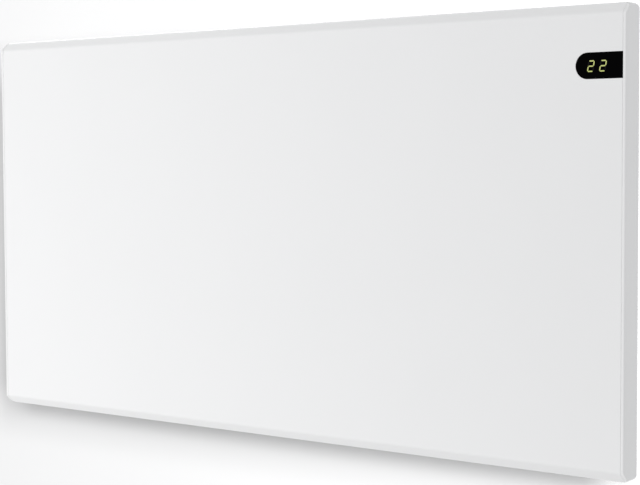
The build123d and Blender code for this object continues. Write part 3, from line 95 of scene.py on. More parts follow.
@dataclass(frozen=True)
class Finish:
    """One material: its colour, gloss and the fine grain that breaks them up.

    The colour drifts between two near tones, the roughness between two near values, and the
    grain lifts the surface by a few hundredths of a millimetre.
    """

    name: str
    colour: Colour
    roughness: float
    metallic: float = 0.0
    specular: float = 0.5
    coat: float = 0.0
    drift: float = 0.03
    drift_size: float = 60.0
    gloss_drift: float = 0.05
    grain: Grain = Grain.SPARKED
    grain_size: float = 0.8
    grain_depth: float = 0.01
    glow: Colour | None = None
    glow_strength: float = 0.0
    marks: tuple[Point, ...] = ()
    mark_radius: float = 2.8

    def material(self) -> bpy.types.Material:
        """Builds the material once and returns it.

        Returns:
            The Blender material of this finish.
        """
        made = bpy.data.materials.get(self.material_name)
        return made if made else NodeBench(self).build()

    @property
    def material_name(self) -> str:
        """Name of the built material, apart from the frame's own plain one."""
        return f"finish_{self.name}"


class Graph:
    """Node tree that is laid out in short calls."""

    def __init__(self, owner: bpy.types.ID, cleared: bool = False) -> None:
        """Takes over the tree of a new material or world.

        Args:
            owner: The material or world.
            cleared: Whether its first nodes go.
        """
        owner.use_nodes = True
        self.tree = owner.node_tree
        if cleared:
            self.tree.nodes.clear()

    def feed(self, node: bpy.types.Node, inputs: Inputs) -> bpy.types.Node:
        """Sets or links inputs of a node.

        Args:
            node: The node.
            inputs: What each input gets: a socket to link, or a plain value.

        Returns:
            The same node.
        """
        for key, given in inputs.items():
            if isinstance(given, Socket):
                self.tree.links.new(given, node.inputs[key])
            else:
                node.inputs[key].default_value = given
        return node

    def node(self, kind: str, inputs: Inputs | None = None, **traits: object) -> bpy.types.Node:
        """Adds a shader node.

        Args:
            kind: Its type, without the prefix that all share.
            inputs: What its inputs get.
            traits: Its other settings.

        Returns:
            The node.
        """
        made = self.tree.nodes.new(f"ShaderNode{kind}")
        for trait, given in traits.items():
            setattr(made, trait, given)
        return self.feed(made, inputs or {})

    def sum_up(self, operation: str, *terms: object, clamp: bool = False) -> Socket:
        """Adds one step of arithmetic.

        Args:
            operation: What is done.
            terms: Sockets or numbers that it is done to.
            clamp: Whether the result is held between 0 and 1.

        Returns:
            The socket with the result.
        """
        return self.node("Math", dict(enumerate(terms)), operation=operation, use_clamp=clamp).outputs[0]


class NodeBench(Graph):
    """Lays out the shader nodes of one finish."""

    def __init__(self, finish: Finish) -> None:
        """Starts a new material.

        Args:
            finish: The finish to build.
        """
        self.finish = finish
        self.material = bpy.data.materials.new(finish.material_name)
        super().__init__(self.material)
        self.shader = self.tree.nodes["Principled BSDF"]
        self.place = self.node("TexCoord").outputs["Object"]

    def noise(self, size_mm: float, detail: float = 2.0, stretch: Point | None = None) -> Socket:
        """Adds a noise field.

        Args:
            size_mm: Size of its blotches in millimetres.
            detail: Octaves of finer noise.
            stretch: Factors along X, Y and Z, for brushed grain.

        Returns:
            The socket with the noise, about 0.5 in the mean.
        """
        place = self.place
        if stretch:
            place = self.node("Mapping", {"Scale": stretch, "Vector": place}).outputs["Vector"]
        inputs = {"Scale": 1.0 / (size_mm * MM), "Detail": detail, "Vector": place}
        return self.node("TexNoise", inputs).outputs["Fac"]

    def ramp(self, source: Socket, low: float, high: float) -> Socket:
        """Maps the usual span of a noise field onto a range.

        Args:
            source: Socket to map.
            low: Value at the noise's low end.
            high: Value at its high end.

        Returns:
            The mapped socket.
        """
        inputs = {"From Min": NOISE_SPAN[0], "From Max": NOISE_SPAN[1], "To Min": low, "To Max": high,
                  "Value": source}
        return self.node("MapRange", inputs).outputs["Result"]

    def blend(self, mask: Socket, first: Colour, second: Colour) -> Socket:
        """Mixes two colours by a mask.

        Args:
            mask: Socket from 0 to 1.
            first: Colour where the mask is 0.
            second: Colour where it is 1.

        Returns:
            The mixed colour's socket.
        """
        inputs = {"A": (*first, 1.0), "B": (*second, 1.0), "Factor": mask}
        return self.node("Mix", inputs, data_type="RGBA").outputs["Result"]

    def cells(self, size_mm: float, feature: str = "F1", output: str = "Distance") -> Socket:
        """Adds a field of cells, such as zinc spangles or a board's tracks.

        Args:
            size_mm: Size of a cell in millimetres.
            feature: Which distance the cells give.
            output: "Distance", or "Color" for one even value in each cell.

        Returns:
            The socket with the distance or value.
        """
        inputs = {"Scale": 1.0 / (size_mm * MM), "Vector": self.place}
        return self.node("TexVoronoi", inputs, feature=feature).outputs[output]

    def near_marks(self) -> Socket:
        """Field that is 1 at the finish's marks and falls to 0 at their rims.

        Returns:
            The socket.
        """
        nearest, radius = None, self.finish.mark_radius
        for mark in self.finish.marks:
            spot = [value * MM for value in mark]
            gap = self.node("VectorMath", {0: self.place, 1: spot}, operation="DISTANCE").outputs["Value"]
            nearest = self.sum_up("MINIMUM", nearest, gap) if nearest else gap
        inputs = {"From Min": MARK_CORE * radius * MM, "From Max": radius * MM, "To Min": 1.0, "To Max": 0.0,
                  "Value": nearest}
        return self.node("MapRange", inputs, interpolation_type="SMOOTHSTEP").outputs["Result"]

    def relief(self) -> Socket | None:
        """Height field of the finish's grain, or None where it has no grain.

        Returns:
            The height socket.
        """
        size, grain = self.finish.grain_size, self.finish.grain
        if grain is Grain.NONE:
            return None
        if grain is Grain.BRUSHED_X:
            return self.noise(size, 3.0, (0.04, 1.0, 1.0))
        if grain is Grain.BRUSHED_Z:
            return self.noise(size, 3.0, (1.0, 1.0, 0.04))
        if grain is Grain.SPANGLE:
            return self.cells(size)
        return self.noise(size, 1.0 if grain is Grain.ORANGE_PEEL else 4.0)

    def build(self) -> bpy.types.Material:
        """Wires colour, gloss and grain to the shader.

        Returns:
            The finished material.
        """
        finish = self.finish
        dark = tuple(max(0.0, c * (1.0 - finish.drift)) for c in finish.colour)
        light = tuple(min(1.0, c * (1.0 + finish.drift)) for c in finish.colour)
        if finish.grain is Grain.SPANGLE:
            field = self.cells(finish.grain_size, output="Color")
        elif finish.grain is Grain.TRACKS:
            field = self.cells(finish.grain_size, "DISTANCE_TO_EDGE")
        else:
            field = self.noise(finish.drift_size)
        tone = self.blend(self.ramp(field, 0.0, 1.0), dark, light)
        mark = self.near_marks() if finish.marks else None
        if mark:
            scorched = self.blend(mark, finish.colour, tuple(SCORCH_SHARE * c for c in finish.colour))
            self.feed(scorched.node, {"A": tone})
            tone = scorched
        low = max(LEAST_ROUGHNESS, finish.roughness - finish.gloss_drift)
        high = min(1.0, finish.roughness + finish.gloss_drift)
        gloss = self.ramp(self.noise(0.5 * finish.drift_size, 3.0), low, high)
        self.feed(self.shader, {
            "Metallic": finish.metallic, "Specular IOR Level": finish.specular, "Coat Weight": finish.coat,
            "Coat Roughness": COAT_ROUGHNESS, "Base Color": tone, "Roughness": gloss})
        height = self.relief()
        if height:
            if mark:
                height = self.sum_up("MULTIPLY_ADD", mark, MARK_SINK, height)
            bump = self.node("Bump", {"Strength": 1.0, "Distance": finish.grain_depth * MM, "Height": height})
            self.feed(self.shader, {"Normal": bump.outputs["Normal"]})
        if finish.glow:
            self.feed(self.shader, {"Emission Color": (*finish.glow, 1.0),
                                    "Emission Strength": finish.glow_strength})
        return self.material


ENAMEL = Finish("white_enamel", (0.905, 0.905, 0.905), 0.40, drift=0.004, drift_size=90.0, gloss_drift=0.03,
                grain=Grain.ORANGE_PEEL, grain_size=2.2, grain_depth=0.006)
CASE_ENAMEL = Finish("case_enamel", (0.87, 0.87, 0.865), 0.42, drift=0.008, drift_size=70.0,
                     grain=Grain.ORANGE_PEEL, grain_size=1.6, grain_depth=0.012)
CAP_PLASTIC = Finish("end_cap_plastic", (0.895, 0.895, 0.895), 0.46, drift=0.006, grain=Grain.SPARKED,
                     grain_size=0.9, grain_depth=0.02)
WINDOW_BLACK = Finish("window_black", (0.0008, 0.0008, 0.0010), 0.12, specular=0.015, drift=0.1,
                      gloss_drift=0.03, grain=Grain.NONE)
DIGIT_GLOW = Finish("digit_glow", (0.04, 0.045, 0.015), 0.35, specular=0.1, drift=0.05, drift_size=3.0,
                    grain=Grain.NONE, glow=(0.52, 0.56, 0.20), glow_strength=1.0)
DIGIT_DARK = Finish("digit_dark", (0.006, 0.006, 0.006), 0.2, specular=0.08, drift=0.1, grain=Grain.NONE)
DARK_PLASTIC = Finish("dark_plastic", (0.035, 0.035, 0.038), 0.5, grain_size=0.6, grain_depth=0.02)
SOLDER_MASK = Finish("circuit_board", (0.025, 0.16, 0.07), 0.32, coat=0.3, drift=0.25, grain=Grain.TRACKS,
                     grain_size=5.0, grain_depth=0.03)
BUTTON_PLASTIC = Finish("button_plastic", (0.74, 0.745, 0.75), 0.45, grain_size=0.4, grain_depth=0.012)
ALUMINIUM = Finish("bare_aluminium", (0.80, 0.81, 0.82), 0.34, metallic=1.0, grain=Grain.BRUSHED_X,
                   grain_size=0.5, grain_depth=0.012)
GALVANISED = Finish("galvanised_sheet", (0.58, 0.595, 0.61), 0.44, metallic=1.0, drift=0.07,
                    grain=Grain.SPANGLE, grain_size=4.0, grain_depth=0.008)
TUBE_STEEL = Finish("tube_steel", (0.42, 0.38, 0.34), 0.38, metallic=1.0, drift=0.15, drift_size=25.0,
                    grain=Grain.BRUSHED_X, grain_size=0.4, grain_depth=0.01)
ZINC = Finish("zinc_screws", (0.66, 0.67, 0.69), 0.28, metallic=1.0, drift=0.08, drift_size=3.0,
              grain_size=0.4, grain_depth=0.01)
PIN_STEEL = Finish("pin_steel", (0.58, 0.585, 0.60), 0.3, metallic=1.0, drift=0.08, drift_size=5.0,
                   grain=Grain.BRUSHED_X, grain_size=0.3, grain_depth=0.01)
BRASS = Finish("brass_parts", (0.78, 0.60, 0.28), 0.3, metallic=1.0, drift=0.1, drift_size=4.0,
               grain_size=0.4, grain_depth=0.01)
CERAMIC = Finish("ceramic", (0.84, 0.80, 0.72), 0.65, drift=0.05, drift_size=4.0, grain_size=0.5,
                 grain_depth=0.04)
PHENOLIC = Finish("phenolic", (0.085, 0.05, 0.035), 0.45, drift=0.15, drift_size=4.0, grain_size=0.5)
NYLON = Finish("nylon", (0.82, 0.815, 0.78), 0.5, grain_size=0.7, grain_depth=0.015)
RELAY_PLASTIC = Finish("relay_plastic", (0.03, 0.10, 0.30), 0.35, grain_size=0.6)
TAPE = Finish("transformer_tape", (0.72, 0.58, 0.13), 0.4, drift=0.1, drift_size=8.0, grain=Grain.BRUSHED_Z,
              grain_size=1.0, grain_depth=0.03)
CAPACITOR_PLASTIC = Finish("capacitor_plastic", (0.68, 0.52, 0.09), 0.35, grain_size=0.8)
GLAND_PLASTIC = Finish("gland_plastic", (0.72, 0.72, 0.715), 0.48, grain_size=0.7, grain_depth=0.02)
RUBBER = Finish("soft_rubber", (0.035, 0.035, 0.036), 0.75, drift=0.15, drift_size=6.0, grain_size=0.5,
                grain_depth=0.03)
SWITCH_PLASTIC = Finish("switch_plastic", (0.78, 0.78, 0.775), 0.42, grain_size=0.5, grain_depth=0.012)
ROCKER_PLASTIC = Finish("rocker_plastic", (0.025, 0.025, 0.026), 0.3, grain_size=0.5, grain_depth=0.01)
WELD_SPOTS = tuple((x, 0.0, z) for x in (-187.0, 187.0)
                   for z in (-134.0, -124.0, -114.0, 124.0, 134.0, 144.0))
BRACKET_STEEL = Finish("bracket_steel", (0.53, 0.545, 0.56), 0.48, metallic=1.0, drift=0.07,
                       grain=Grain.SPANGLE, grain_size=4.5, grain_depth=0.008, marks=WELD_SPOTS)
LOCK_PLASTIC = Finish("lock_plastic", (0.58, 0.59, 0.60), 0.5, grain_size=0.6, grain_depth=0.02)


def insulation(name: str, colour: Colour) -> Finish:
    """Finish of one lead's insulation.

    Args:
        name: Name of the finish.
        colour: Its colour.

    Returns:
        The finish.
    """
    return Finish(name, colour, 0.42, drift=0.06, drift_size=8.0, grain_size=0.4)


LEAD_BROWN = insulation("lead_brown", (0.16, 0.065, 0.03))
LEAD_RED = insulation("lead_red", (0.50, 0.03, 0.025))
LEAD_BLUE = insulation("lead_blue", (0.03, 0.11, 0.42))
LEAD_WHITE = Finish("lead_white", (0.78, 0.78, 0.76), 0.45, drift=0.04, drift_size=8.0, grain_size=0.4)
LEAD_GREEN = insulation("lead_green", (0.03, 0.26, 0.06))
LEAD_YELLOW = insulation("lead_yellow", (0.72, 0.62, 0.04))
RIBBON_GREY = Finish("ribbon_grey", (0.50, 0.51, 0.52), 0.5, drift=0.03, drift_size=10.0, grain_size=0.5)
MARK_WHITE = Finish("mark_white", (0.82, 0.82, 0.81), 0.5, drift=0.03, drift_size=2.0, grain_size=0.3)
MARK_GREY = Finish("mark_grey", (0.22, 0.225, 0.23), 0.5, drift=0.05, drift_size=2.0, grain_size=0.3)
FERRITE = Finish("ferrite", (0.05, 0.048, 0.047), 0.55, drift=0.2, drift_size=2.0, grain_size=0.5,
                 grain_depth=0.03)
SLEEVE_BLACK = Finish("can_sleeve", (0.02, 0.024, 0.04), 0.3, drift=0.1, drift_size=6.0, grain_size=0.8)
CHIP_BLACK = Finish("chip_black", (0.02, 0.02, 0.021), 0.48, drift=0.15, drift_size=2.0, grain_size=0.3)
RESISTOR_TAN = Finish("resistor_tan", (0.60, 0.42, 0.25), 0.38, drift=0.06, drift_size=3.0, grain_size=0.4)
DISC_BLUE = Finish("disc_blue", (0.05, 0.14, 0.40), 0.3, drift=0.08, drift_size=3.0, grain_size=0.7,
                   grain_depth=0.03)

NODE_FINISHES: dict[str, Finish] = {name: finish for finish, names in (
    (ENAMEL, "front_cover"),
    (CASE_ENAMEL, "rear_case"),
    (CAP_PLASTIC, "left_end_cap right_end_cap"),
    (ZINC, "flange_screws cover_screws cutout_screws terminal_screws"),
    (WINDOW_BLACK, "display_window"),
    (DIGIT_GLOW, "display_segments_lit"),
    (DIGIT_DARK, "display_segments_dark room_sensor"),
    (DARK_PLASTIC, "display_module control_housing push_switches"),
    (SOLDER_MASK, "control_board power_board"),
    (BUTTON_PLASTIC, "button_minus button_plus button_set"),
    (ALUMINIUM, "case_rivets heat_shield heater_fins"),
    (GALVANISED, "control_partition element_support_left element_support_right"),
    (GALVANISED, "hinge_ear_left hinge_ear_right"),
    (TUBE_STEEL, "heating_tube element_studs"),
    (CERAMIC, "element_bushes"),
    (PHENOLIC, "thermal_cutout"),
    (BRASS, "blade_terminals earth_stud earth_nut earth_tag"),
    (NYLON, "board_spacers board_connectors terminal_block"),
    (RELAY_PLASTIC, "relay"),
    (TAPE, "transformer"),
    (CAPACITOR_PLASTIC, "capacitor"),
    (LOCK_PLASTIC, "ribbon_lead internal_leads lock_left lock_right"),
    (GLAND_PLASTIC, "cable_gland gland_nut gland_cap"),
    (RUBBER, "sensor_holder rubber_buffers"),
    (SWITCH_PLASTIC, "power_switch_frame"),
    (ROCKER_PLASTIC, "power_rocker"),
    (BRACKET_STEEL, "bracket_upright_left bracket_upright_right bracket_top_rail bracket_bottom_rail"),
    (PIN_STEEL, "hinge_pins lock_clip_left lock_clip_right"),
) for name in names.split()}


def dress(name: str) -> None:
    """Gives one CAD node its finish.

    Args:
        name: Node to dress.
    """
    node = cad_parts[name]
    made = NODE_FINISHES[name].material()
    if not node.data.materials:
        node.data.materials.append(made)
    for index in range(len(node.data.materials)):
        node.data.materials[index] = made


# ------------------------------------------------------------------------------------ workshop
@dataclass(frozen=True)
class Berth:
    """Where a piece belongs: the body that it moves with and the slot of its finish."""

    body: str
    slot: str


HEATER_ZINC, HEATER_LEADS, HEATER_GLAND, HEATER_RUBBER, HEATER_BRASS, HEATER_NYLON = (
    Berth("heater", slot) for slot in ("zinc_screws", "lead_insulation", "gland_plastic", "soft_rubber",
                                       "brass_parts", "nylon"))
HEATER_DARK, HEATER_CERAMIC, HEATER_PHENOLIC, HEATER_TAPE, HEATER_RELAY, HEATER_ALUMINIUM = (
    Berth("heater", slot) for slot in ("dark_plastic", "ceramic", "phenolic", "transformer_tape",
                                       "relay_plastic", "bare_aluminium"))


class Facing(Enum):
    """Way that a form points."""

    ROOM = (0.0, -1.0, 0.0)
    WALL = (0.0, 1.0, 0.0)
    UP = (0.0, 0.0, 1.0)
    DOWN = (0.0, 0.0, -1.0)
    RIGHT = (1.0, 0.0, 0.0)
    LEFT = (-1.0, 0.0, 0.0)

    def turn(self) -> Matrix:
        """Rotation that takes +Z to this way."""
        return Vector((0.0, 0.0, 1.0)).rotation_difference(Vector(self.value)).to_matrix().to_4x4()


def settle(piece: Piece, finish: Finish, berth: Berth, stands_for: Sequence[str]) -> Piece:
    """Gives a piece its finish and its place in the model.

    Args:
        piece: The new object.
        finish: What its surface looks like.
        berth: Its body and slot.
        stands_for: CAD nodes that it replaces.

    Returns:
        The same object.
    """
    piece.data.materials.append(finish.material())
    shown(piece)
    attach(piece, berth.body)
    if stands_for:
        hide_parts(*stands_for)
    return piece


class Mould:
    """Mesh of one piece while it takes shape, in millimetres of the shared frame."""

    def __init__(self) -> None:
        """Starts with nothing in the mould."""
        self.work = bmesh.new()

    def band(self, first: list[bmesh.types.BMVert], second: list[bmesh.types.BMVert]) -> None:
        """Joins two rings of vertices, either of which may be a single point.

        Args:
            first: One ring.
            second: The next ring.
        """
        count = max(len(first), len(second))
        for step in range(count):
            here, there = step, (step + 1) % count
            if len(first) == 1:
                corners = (first[0], second[here], second[there])
            elif len(second) == 1:
                corners = (first[here], first[there], second[0])
            else:
                corners = (first[here], first[there], second[there], second[here])
            self.work.faces.new(corners)

    def turned(self, outline: Sequence[tuple[float, ...]], foot: Point, facing: Facing, steps: int = 24,
               flutes: int = 0, flute_depth: float = 0.0, closed: bool = False) -> None:
        """Adds a form turned about an axis, with or without grooves along it.

        Args:
            outline: Radius and height of each ring, and as a third number its share of the grooves.
            foot: Point at height 0 on the axis.
            facing: Way that height grows.
            steps: Divisions round the axis.
            flutes: Number of grooves.
            flute_depth: Depth of a full groove.
            closed: Whether the outline comes back to its first ring.
        """
        place = Matrix.Translation(foot) @ facing.turn()
        rings = []
        for radius, height, *rest in outline:
            if radius <= 0.0:
                rings.append([self.work.verts.new(place @ Vector((0.0, 0.0, height)))])
                continue
            share = rest[0] if rest else 0.0
            ring = []
            for step in range(steps):
                angle = 2.0 * math.pi * step / steps
                spoke = radius - share * flute_depth * 0.5 * (1.0 - math.cos(flutes * angle))
                spot = Vector((spoke * math.cos(angle), spoke * math.sin(angle), height))
                ring.append(self.work.verts.new(place @ spot))
            rings.append(ring)
        for first, second in zip(rings, rings[1:]):
            self.band(first, second)
        if closed:
            self.band(rings[-1], rings[0])
            return
        for ring in (rings[0], rings[-1]):
            if len(ring) > 1:
                self.work.faces.new(ring)

    def block(self, low: Point, high: Point, edge: float = 0.3, draft: float = 0.0) -> None:
        """Adds a block with broken edges.

        Args:
            low: Its lowest corner.
            high: Its highest corner.
            edge: Width of the broken edges.
            draft: How far its room side draws in all round, as moulded blocks do.
        """
        corners = bmesh.ops.create_cube(self.work, size=1.0)["verts"]
        middle = [(a + b) / 2 for a, b in zip(low, high)]
        for corner in corners:
            spot = [a + (c + 0.5) * (b - a) for a, b, c in zip(low, high, corner.co)]
            if draft and spot[1] < middle[1]:
                spot[0] += math.copysign(draft, middle[0] - spot[0])
                spot[2] += math.copysign(draft, middle[2] - spot[2])
            corner.co = spot
        if edge > 0.0:
            rims = dict.fromkeys(rim for corner in corners for rim in corner.link_edges)
            bmesh.ops.bevel(self.work, geom=list(rims), offset=edge, segments=2, profile=0.5, affect="EDGES")

    def slab(self, outline: Sequence[tuple[float, float]], start: float, stop: float,
             along: str = "X") -> None:
        """Adds a form cut from a plate of even thickness.

        Args:
            outline: Its corners in the plate's plane, in order: (Y, Z), (X, Z) or (X, Y).
            start: Where the plate begins along its axis.
            stop: Where it ends.
            along: The plate's axis.
        """
        index = "XYZ".index(along)

        def corner(pair: tuple[float, float], reach: float) -> Point:
            """Point of the outline at one side of the plate."""
            spot = list(pair)
            spot.insert(index, reach)
            return tuple(spot)

        first = [self.work.verts.new(corner(pair, start)) for pair in outline]
        second = [self.work.verts.new(corner(pair, stop)) for pair in outline]
        self.work.faces.new(first)
        self.work.faces.new(second)
        self.band(first, second)

    def stamp(self, mesh: bpy.types.Mesh, place: Matrix) -> None:
        """Adds a copy of a mesh.

        Args:
            mesh: The mesh to copy.
            place: Where the copy goes.
        """
        before = set(self.work.verts)
        self.work.from_mesh(mesh)
        fresh = [corner for corner in self.work.verts if corner not in before]
        bmesh.ops.transform(self.work, matrix=place, verts=fresh)

    def mesh(self, name: str) -> bpy.types.Mesh:
        """Empties the mould.

        Args:
            name: Name of the mesh.

        Returns:
            The finished mesh, smooth but for its sharp edges, still in millimetres.
        """
        bmesh.ops.recalc_face_normals(self.work, faces=self.work.faces)
        made = bpy.data.meshes.new(name)
        self.work.to_mesh(made)
        self.work.free()
        made.shade_smooth()
        made.set_sharp_from_angle(angle=SMOOTH_UP_TO)
        return made

    def piece(self, name: str, finish: Finish, berth: Berth, *stands_for: str) -> Piece:
        """Turns out the mould as a piece of the scene.

        Args:
            name: Name of the piece.
            finish: What its surface looks like.
            berth: Its body and slot.
            stands_for: CAD nodes that it replaces.

        Returns:
            The piece.
        """
        made = self.mesh(name)
        made.transform(Matrix.Scale(MM, 4))
        return settle(bpy.data.objects.new(name, made), finish, berth, stands_for)


def carved(body: Mould, cutter: Mould, name: str) -> bpy.types.Mesh:
    """Cuts one form out of another.

    Args:
        body: What is cut.
        cutter: What is taken away.
        name: Name of the mesh.

    Returns:
        The cut mesh, in millimetres.
    """
    kept, gone = (shown(bpy.data.objects.new(f"{name}_{role}", mould.mesh(f"{name}_{role}")))
                  for role, mould in (("body", body), ("cutter", cutter)))
    cut = kept.modifiers.new("cut", "BOOLEAN")
    cut.operation, cut.object, cut.solver, cut.use_self = "DIFFERENCE", gone, "EXACT", True
    graph = bpy.context.evaluated_depsgraph_get()
    made = bpy.data.meshes.new_from_object(kept.evaluated_get(graph))
    for item in (kept, gone):
        bpy.data.objects.remove(item)
    return made


@dataclass
class Strand:
    """Round lead or wire drawn along a smooth curve."""

    name: str
    routes: Sequence[Sequence[Point]]
    radius: float
    finish: Finish
    berth: Berth = HEATER_LEADS

    def build(self, *stands_for: str) -> Piece:
        """Draws the curve.

        Args:
            stands_for: CAD nodes that it replaces.

        Returns:
            The piece.
        """
        data = bpy.data.curves.new(self.name, "CURVE")
        data.dimensions, data.bevel_depth, data.bevel_resolution = "3D", self.radius * MM, 4
        data.resolution_u, data.use_fill_caps = 12, True
        for route in self.routes:
            line = data.splines.new("BEZIER")
            line.bezier_points.add(len(route) - 1)
            for knot, spot in zip(line.bezier_points, route):
                knot.co = [value * MM for value in spot]
                knot.handle_left_type = knot.handle_right_type = "AUTO"
        return settle(bpy.data.objects.new(self.name, data), self.finish, self.berth, stands_for)


# ----------------------------------------------------------------------------------- fasteners
class Drive(Enum):
    """Recess in a screw's head."""

    CROSS = "cross"
    SLOT = "slot"


HEAD_PROFILE = ((0.96, 0.0), (1.0, 0.06), (1.0, 0.42), (0.965, 0.62), (0.87, 0.80), (0.68, 0.93),
                (0.42, 0.985), (0.0, 1.0))
THREAD_ROOT = 0.78
SPIN_START, SPIN_STEP = 11.0, 37.0


@dataclass
class Screws:
    """Screws of one size that point the same way, each with its recess and thread."""

    name: str
    node: str
    places: Sequence[Point]
    facing: Facing = Facing.WALL
    drive: Drive = Drive.CROSS
    head_radius: float = 3.0
    head_height: float = 2.0
    shank_radius: float = 1.7
    shank_length: float = 8.0
    thread_pitch: float = 1.1
    point_length: float = 1.6
    finish: Finish = ZINC
    berth: Berth = HEATER_ZINC

    def blank(self) -> Mould:
        """Head, thread and point in one turned form, its seat at height 0."""
        shank, pitch = self.shank_radius, self.thread_pitch
        rings = [(0.0, -self.shank_length), (0.35 * shank, -self.shank_length)]
        for turn in range(int((self.shank_length - self.point_length) / pitch), 0, -1):
            rings += [(THREAD_ROOT * shank, -(turn + 0.45) * pitch), (shank, -turn * pitch)]
        rings += [(0.85 * shank, -0.4 * pitch), (0.85 * shank, 0.0)]
        rings += [(share * self.head_radius, lift * self.head_height) for share, lift in HEAD_PROFILE]
        mould = Mould()
        mould.turned(rings, (0.0, 0.0, 0.0), Facing.UP, steps=36)
        return mould

    def recess(self) -> Mould:
        """Form of the driver's tip."""
        mould = Mould()
        top, floor = self.head_height + 0.5, 0.38 * self.head_height
        if self.drive is Drive.SLOT:
            wide = 1.2 * self.head_radius
            mould.block((-wide, -0.4, 0.5 * self.head_height), (wide, 0.4, top), edge=0.0)
            return mould
        reach, half = 0.60 * self.head_radius, 0.145 * self.head_radius
        low, deep = 0.36 * self.head_radius, 0.7 * half
        for blade in (((reach, half, top), (low, deep, floor)), ((half, reach, top), (deep, low, floor))):
            first, second = ([mould.work.verts.new((sx * wide_x, sy * wide_y, height)) for sx, sy in
                              ((-1, -1), (1, -1), (1, 1), (-1, 1))] for wide_x, wide_y, height in blade)
            mould.work.faces.new(first)
            mould.work.faces.new(second)
            mould.band(first, second)
        return mould

    def build(self) -> Piece:
        """Cuts one screw and drives it at every place, each turned a little differently.

        Returns:
            The piece with all the screws.
        """
        pattern = carved(self.blank(), self.recess(), self.name)
        mould = Mould()
        for index, place in enumerate(self.places):
            spin = Matrix.Rotation(math.radians(SPIN_STEP * index + SPIN_START), 4, "Z")
            mould.stamp(pattern, Matrix.Translation(place) @ self.facing.turn() @ spin)
        self.extras(mould)
        return mould.piece(self.name, self.finish, self.berth, self.node)

    def extras(self, mould: Mould) -> None:
        """Adds what belongs to the screws; plain ones have nothing more."""


@dataclass
class BoltedScrews(Screws):
    """Screws with a six-sided nut behind the sheet."""

    nut_front: float = 250.0
    nut_thickness: float = 2.4
    nut_radius: float = 3.0

    def extras(self, mould: Mould) -> None:
        """Adds a chamfered nut on each screw."""
        wide, thick, bore = self.nut_radius, self.nut_thickness, self.shank_radius
        outline = ((bore, 0.0), (0.9 * wide, 0.0), (wide, 0.3), (wide, thick - 0.3), (0.9 * wide, thick),
                   (bore, thick))
        for _, y, z in self.places:
            mould.turned(outline, (self.nut_front, y, z), Facing.LEFT, steps=6, closed=True)


@dataclass
class Fasteners:
    """Screws and nuts of the case, the end caps, the cut-out and the terminals."""

    seam_y: float = -61.2
    flange_y: float = -62.0
    earth_flats: float = 7.0

    def build(self) -> list[Piece]:
        """Builds the screws of the case, the end caps, the cut-out and the terminals.

        Returns:
            The pieces.
        """
        rims = [(x, self.seam_y, z) for z in (174.0, -174.0) for x in (-280.0, -93.333, 93.333, 280.0)]
        sides = [(x, self.seam_y, z) for x in (-334.0, 334.0) for z in (80.0, -80.0)]
        corners = [(x, self.flange_y, z) for x in (-343.0, 343.0) for z in (176.0, -176.0)]
        caps = [(291.0, self.flange_y, 181.0), (335.0, self.flange_y, 181.0)]
        clamps = [(x, -36.8, -142.0) for x in (264.0, 276.0, 288.0)]
        return [
            Screws("case_screws", "cover_screws", rims + sides).build(),
            Screws("end_cap_screws", "flange_screws", corners + caps, head_radius=2.3).build(),
            BoltedScrews("cutout_bolts", "cutout_screws", [(251.8, -42.0, -14.5), (251.8, -42.0, -37.5)],
                         facing=Facing.RIGHT, shank_length=4.8).build(),
            Screws("terminal_clamp_screws", "terminal_screws", clamps, facing=Facing.ROOM, drive=Drive.SLOT,
                   head_radius=2.2, head_height=1.0, shank_radius=1.4, shank_length=4.0,
                   thread_pitch=0.8).build(),
            self.earth_nut(),
        ]

    def earth_nut(self) -> Piece:
        """Six-sided brass nut with chamfered corners and a serrated washer face."""
        mould, seat = Mould(), (303.0, -25.0, -142.0)
        wide = self.earth_flats / math.sqrt(3.0)
        mould.turned(((2.0, 0.6), (0.9 * wide, 0.6), (wide, 1.0), (wide, 2.8), (0.9 * wide, 3.2), (2.0, 3.2)),
                     seat, Facing.ROOM, steps=6, closed=True)
        mould.turned(((2.0, 0.0), (3.45, 0.0, 1.0), (3.45, 0.55, 1.0), (2.0, 0.55)), seat, Facing.ROOM,
                     steps=72, flutes=18, flute_depth=0.35, closed=True)
        return mould.piece("earth_nut_serrated", BRASS, HEATER_BRASS, "earth_nut")


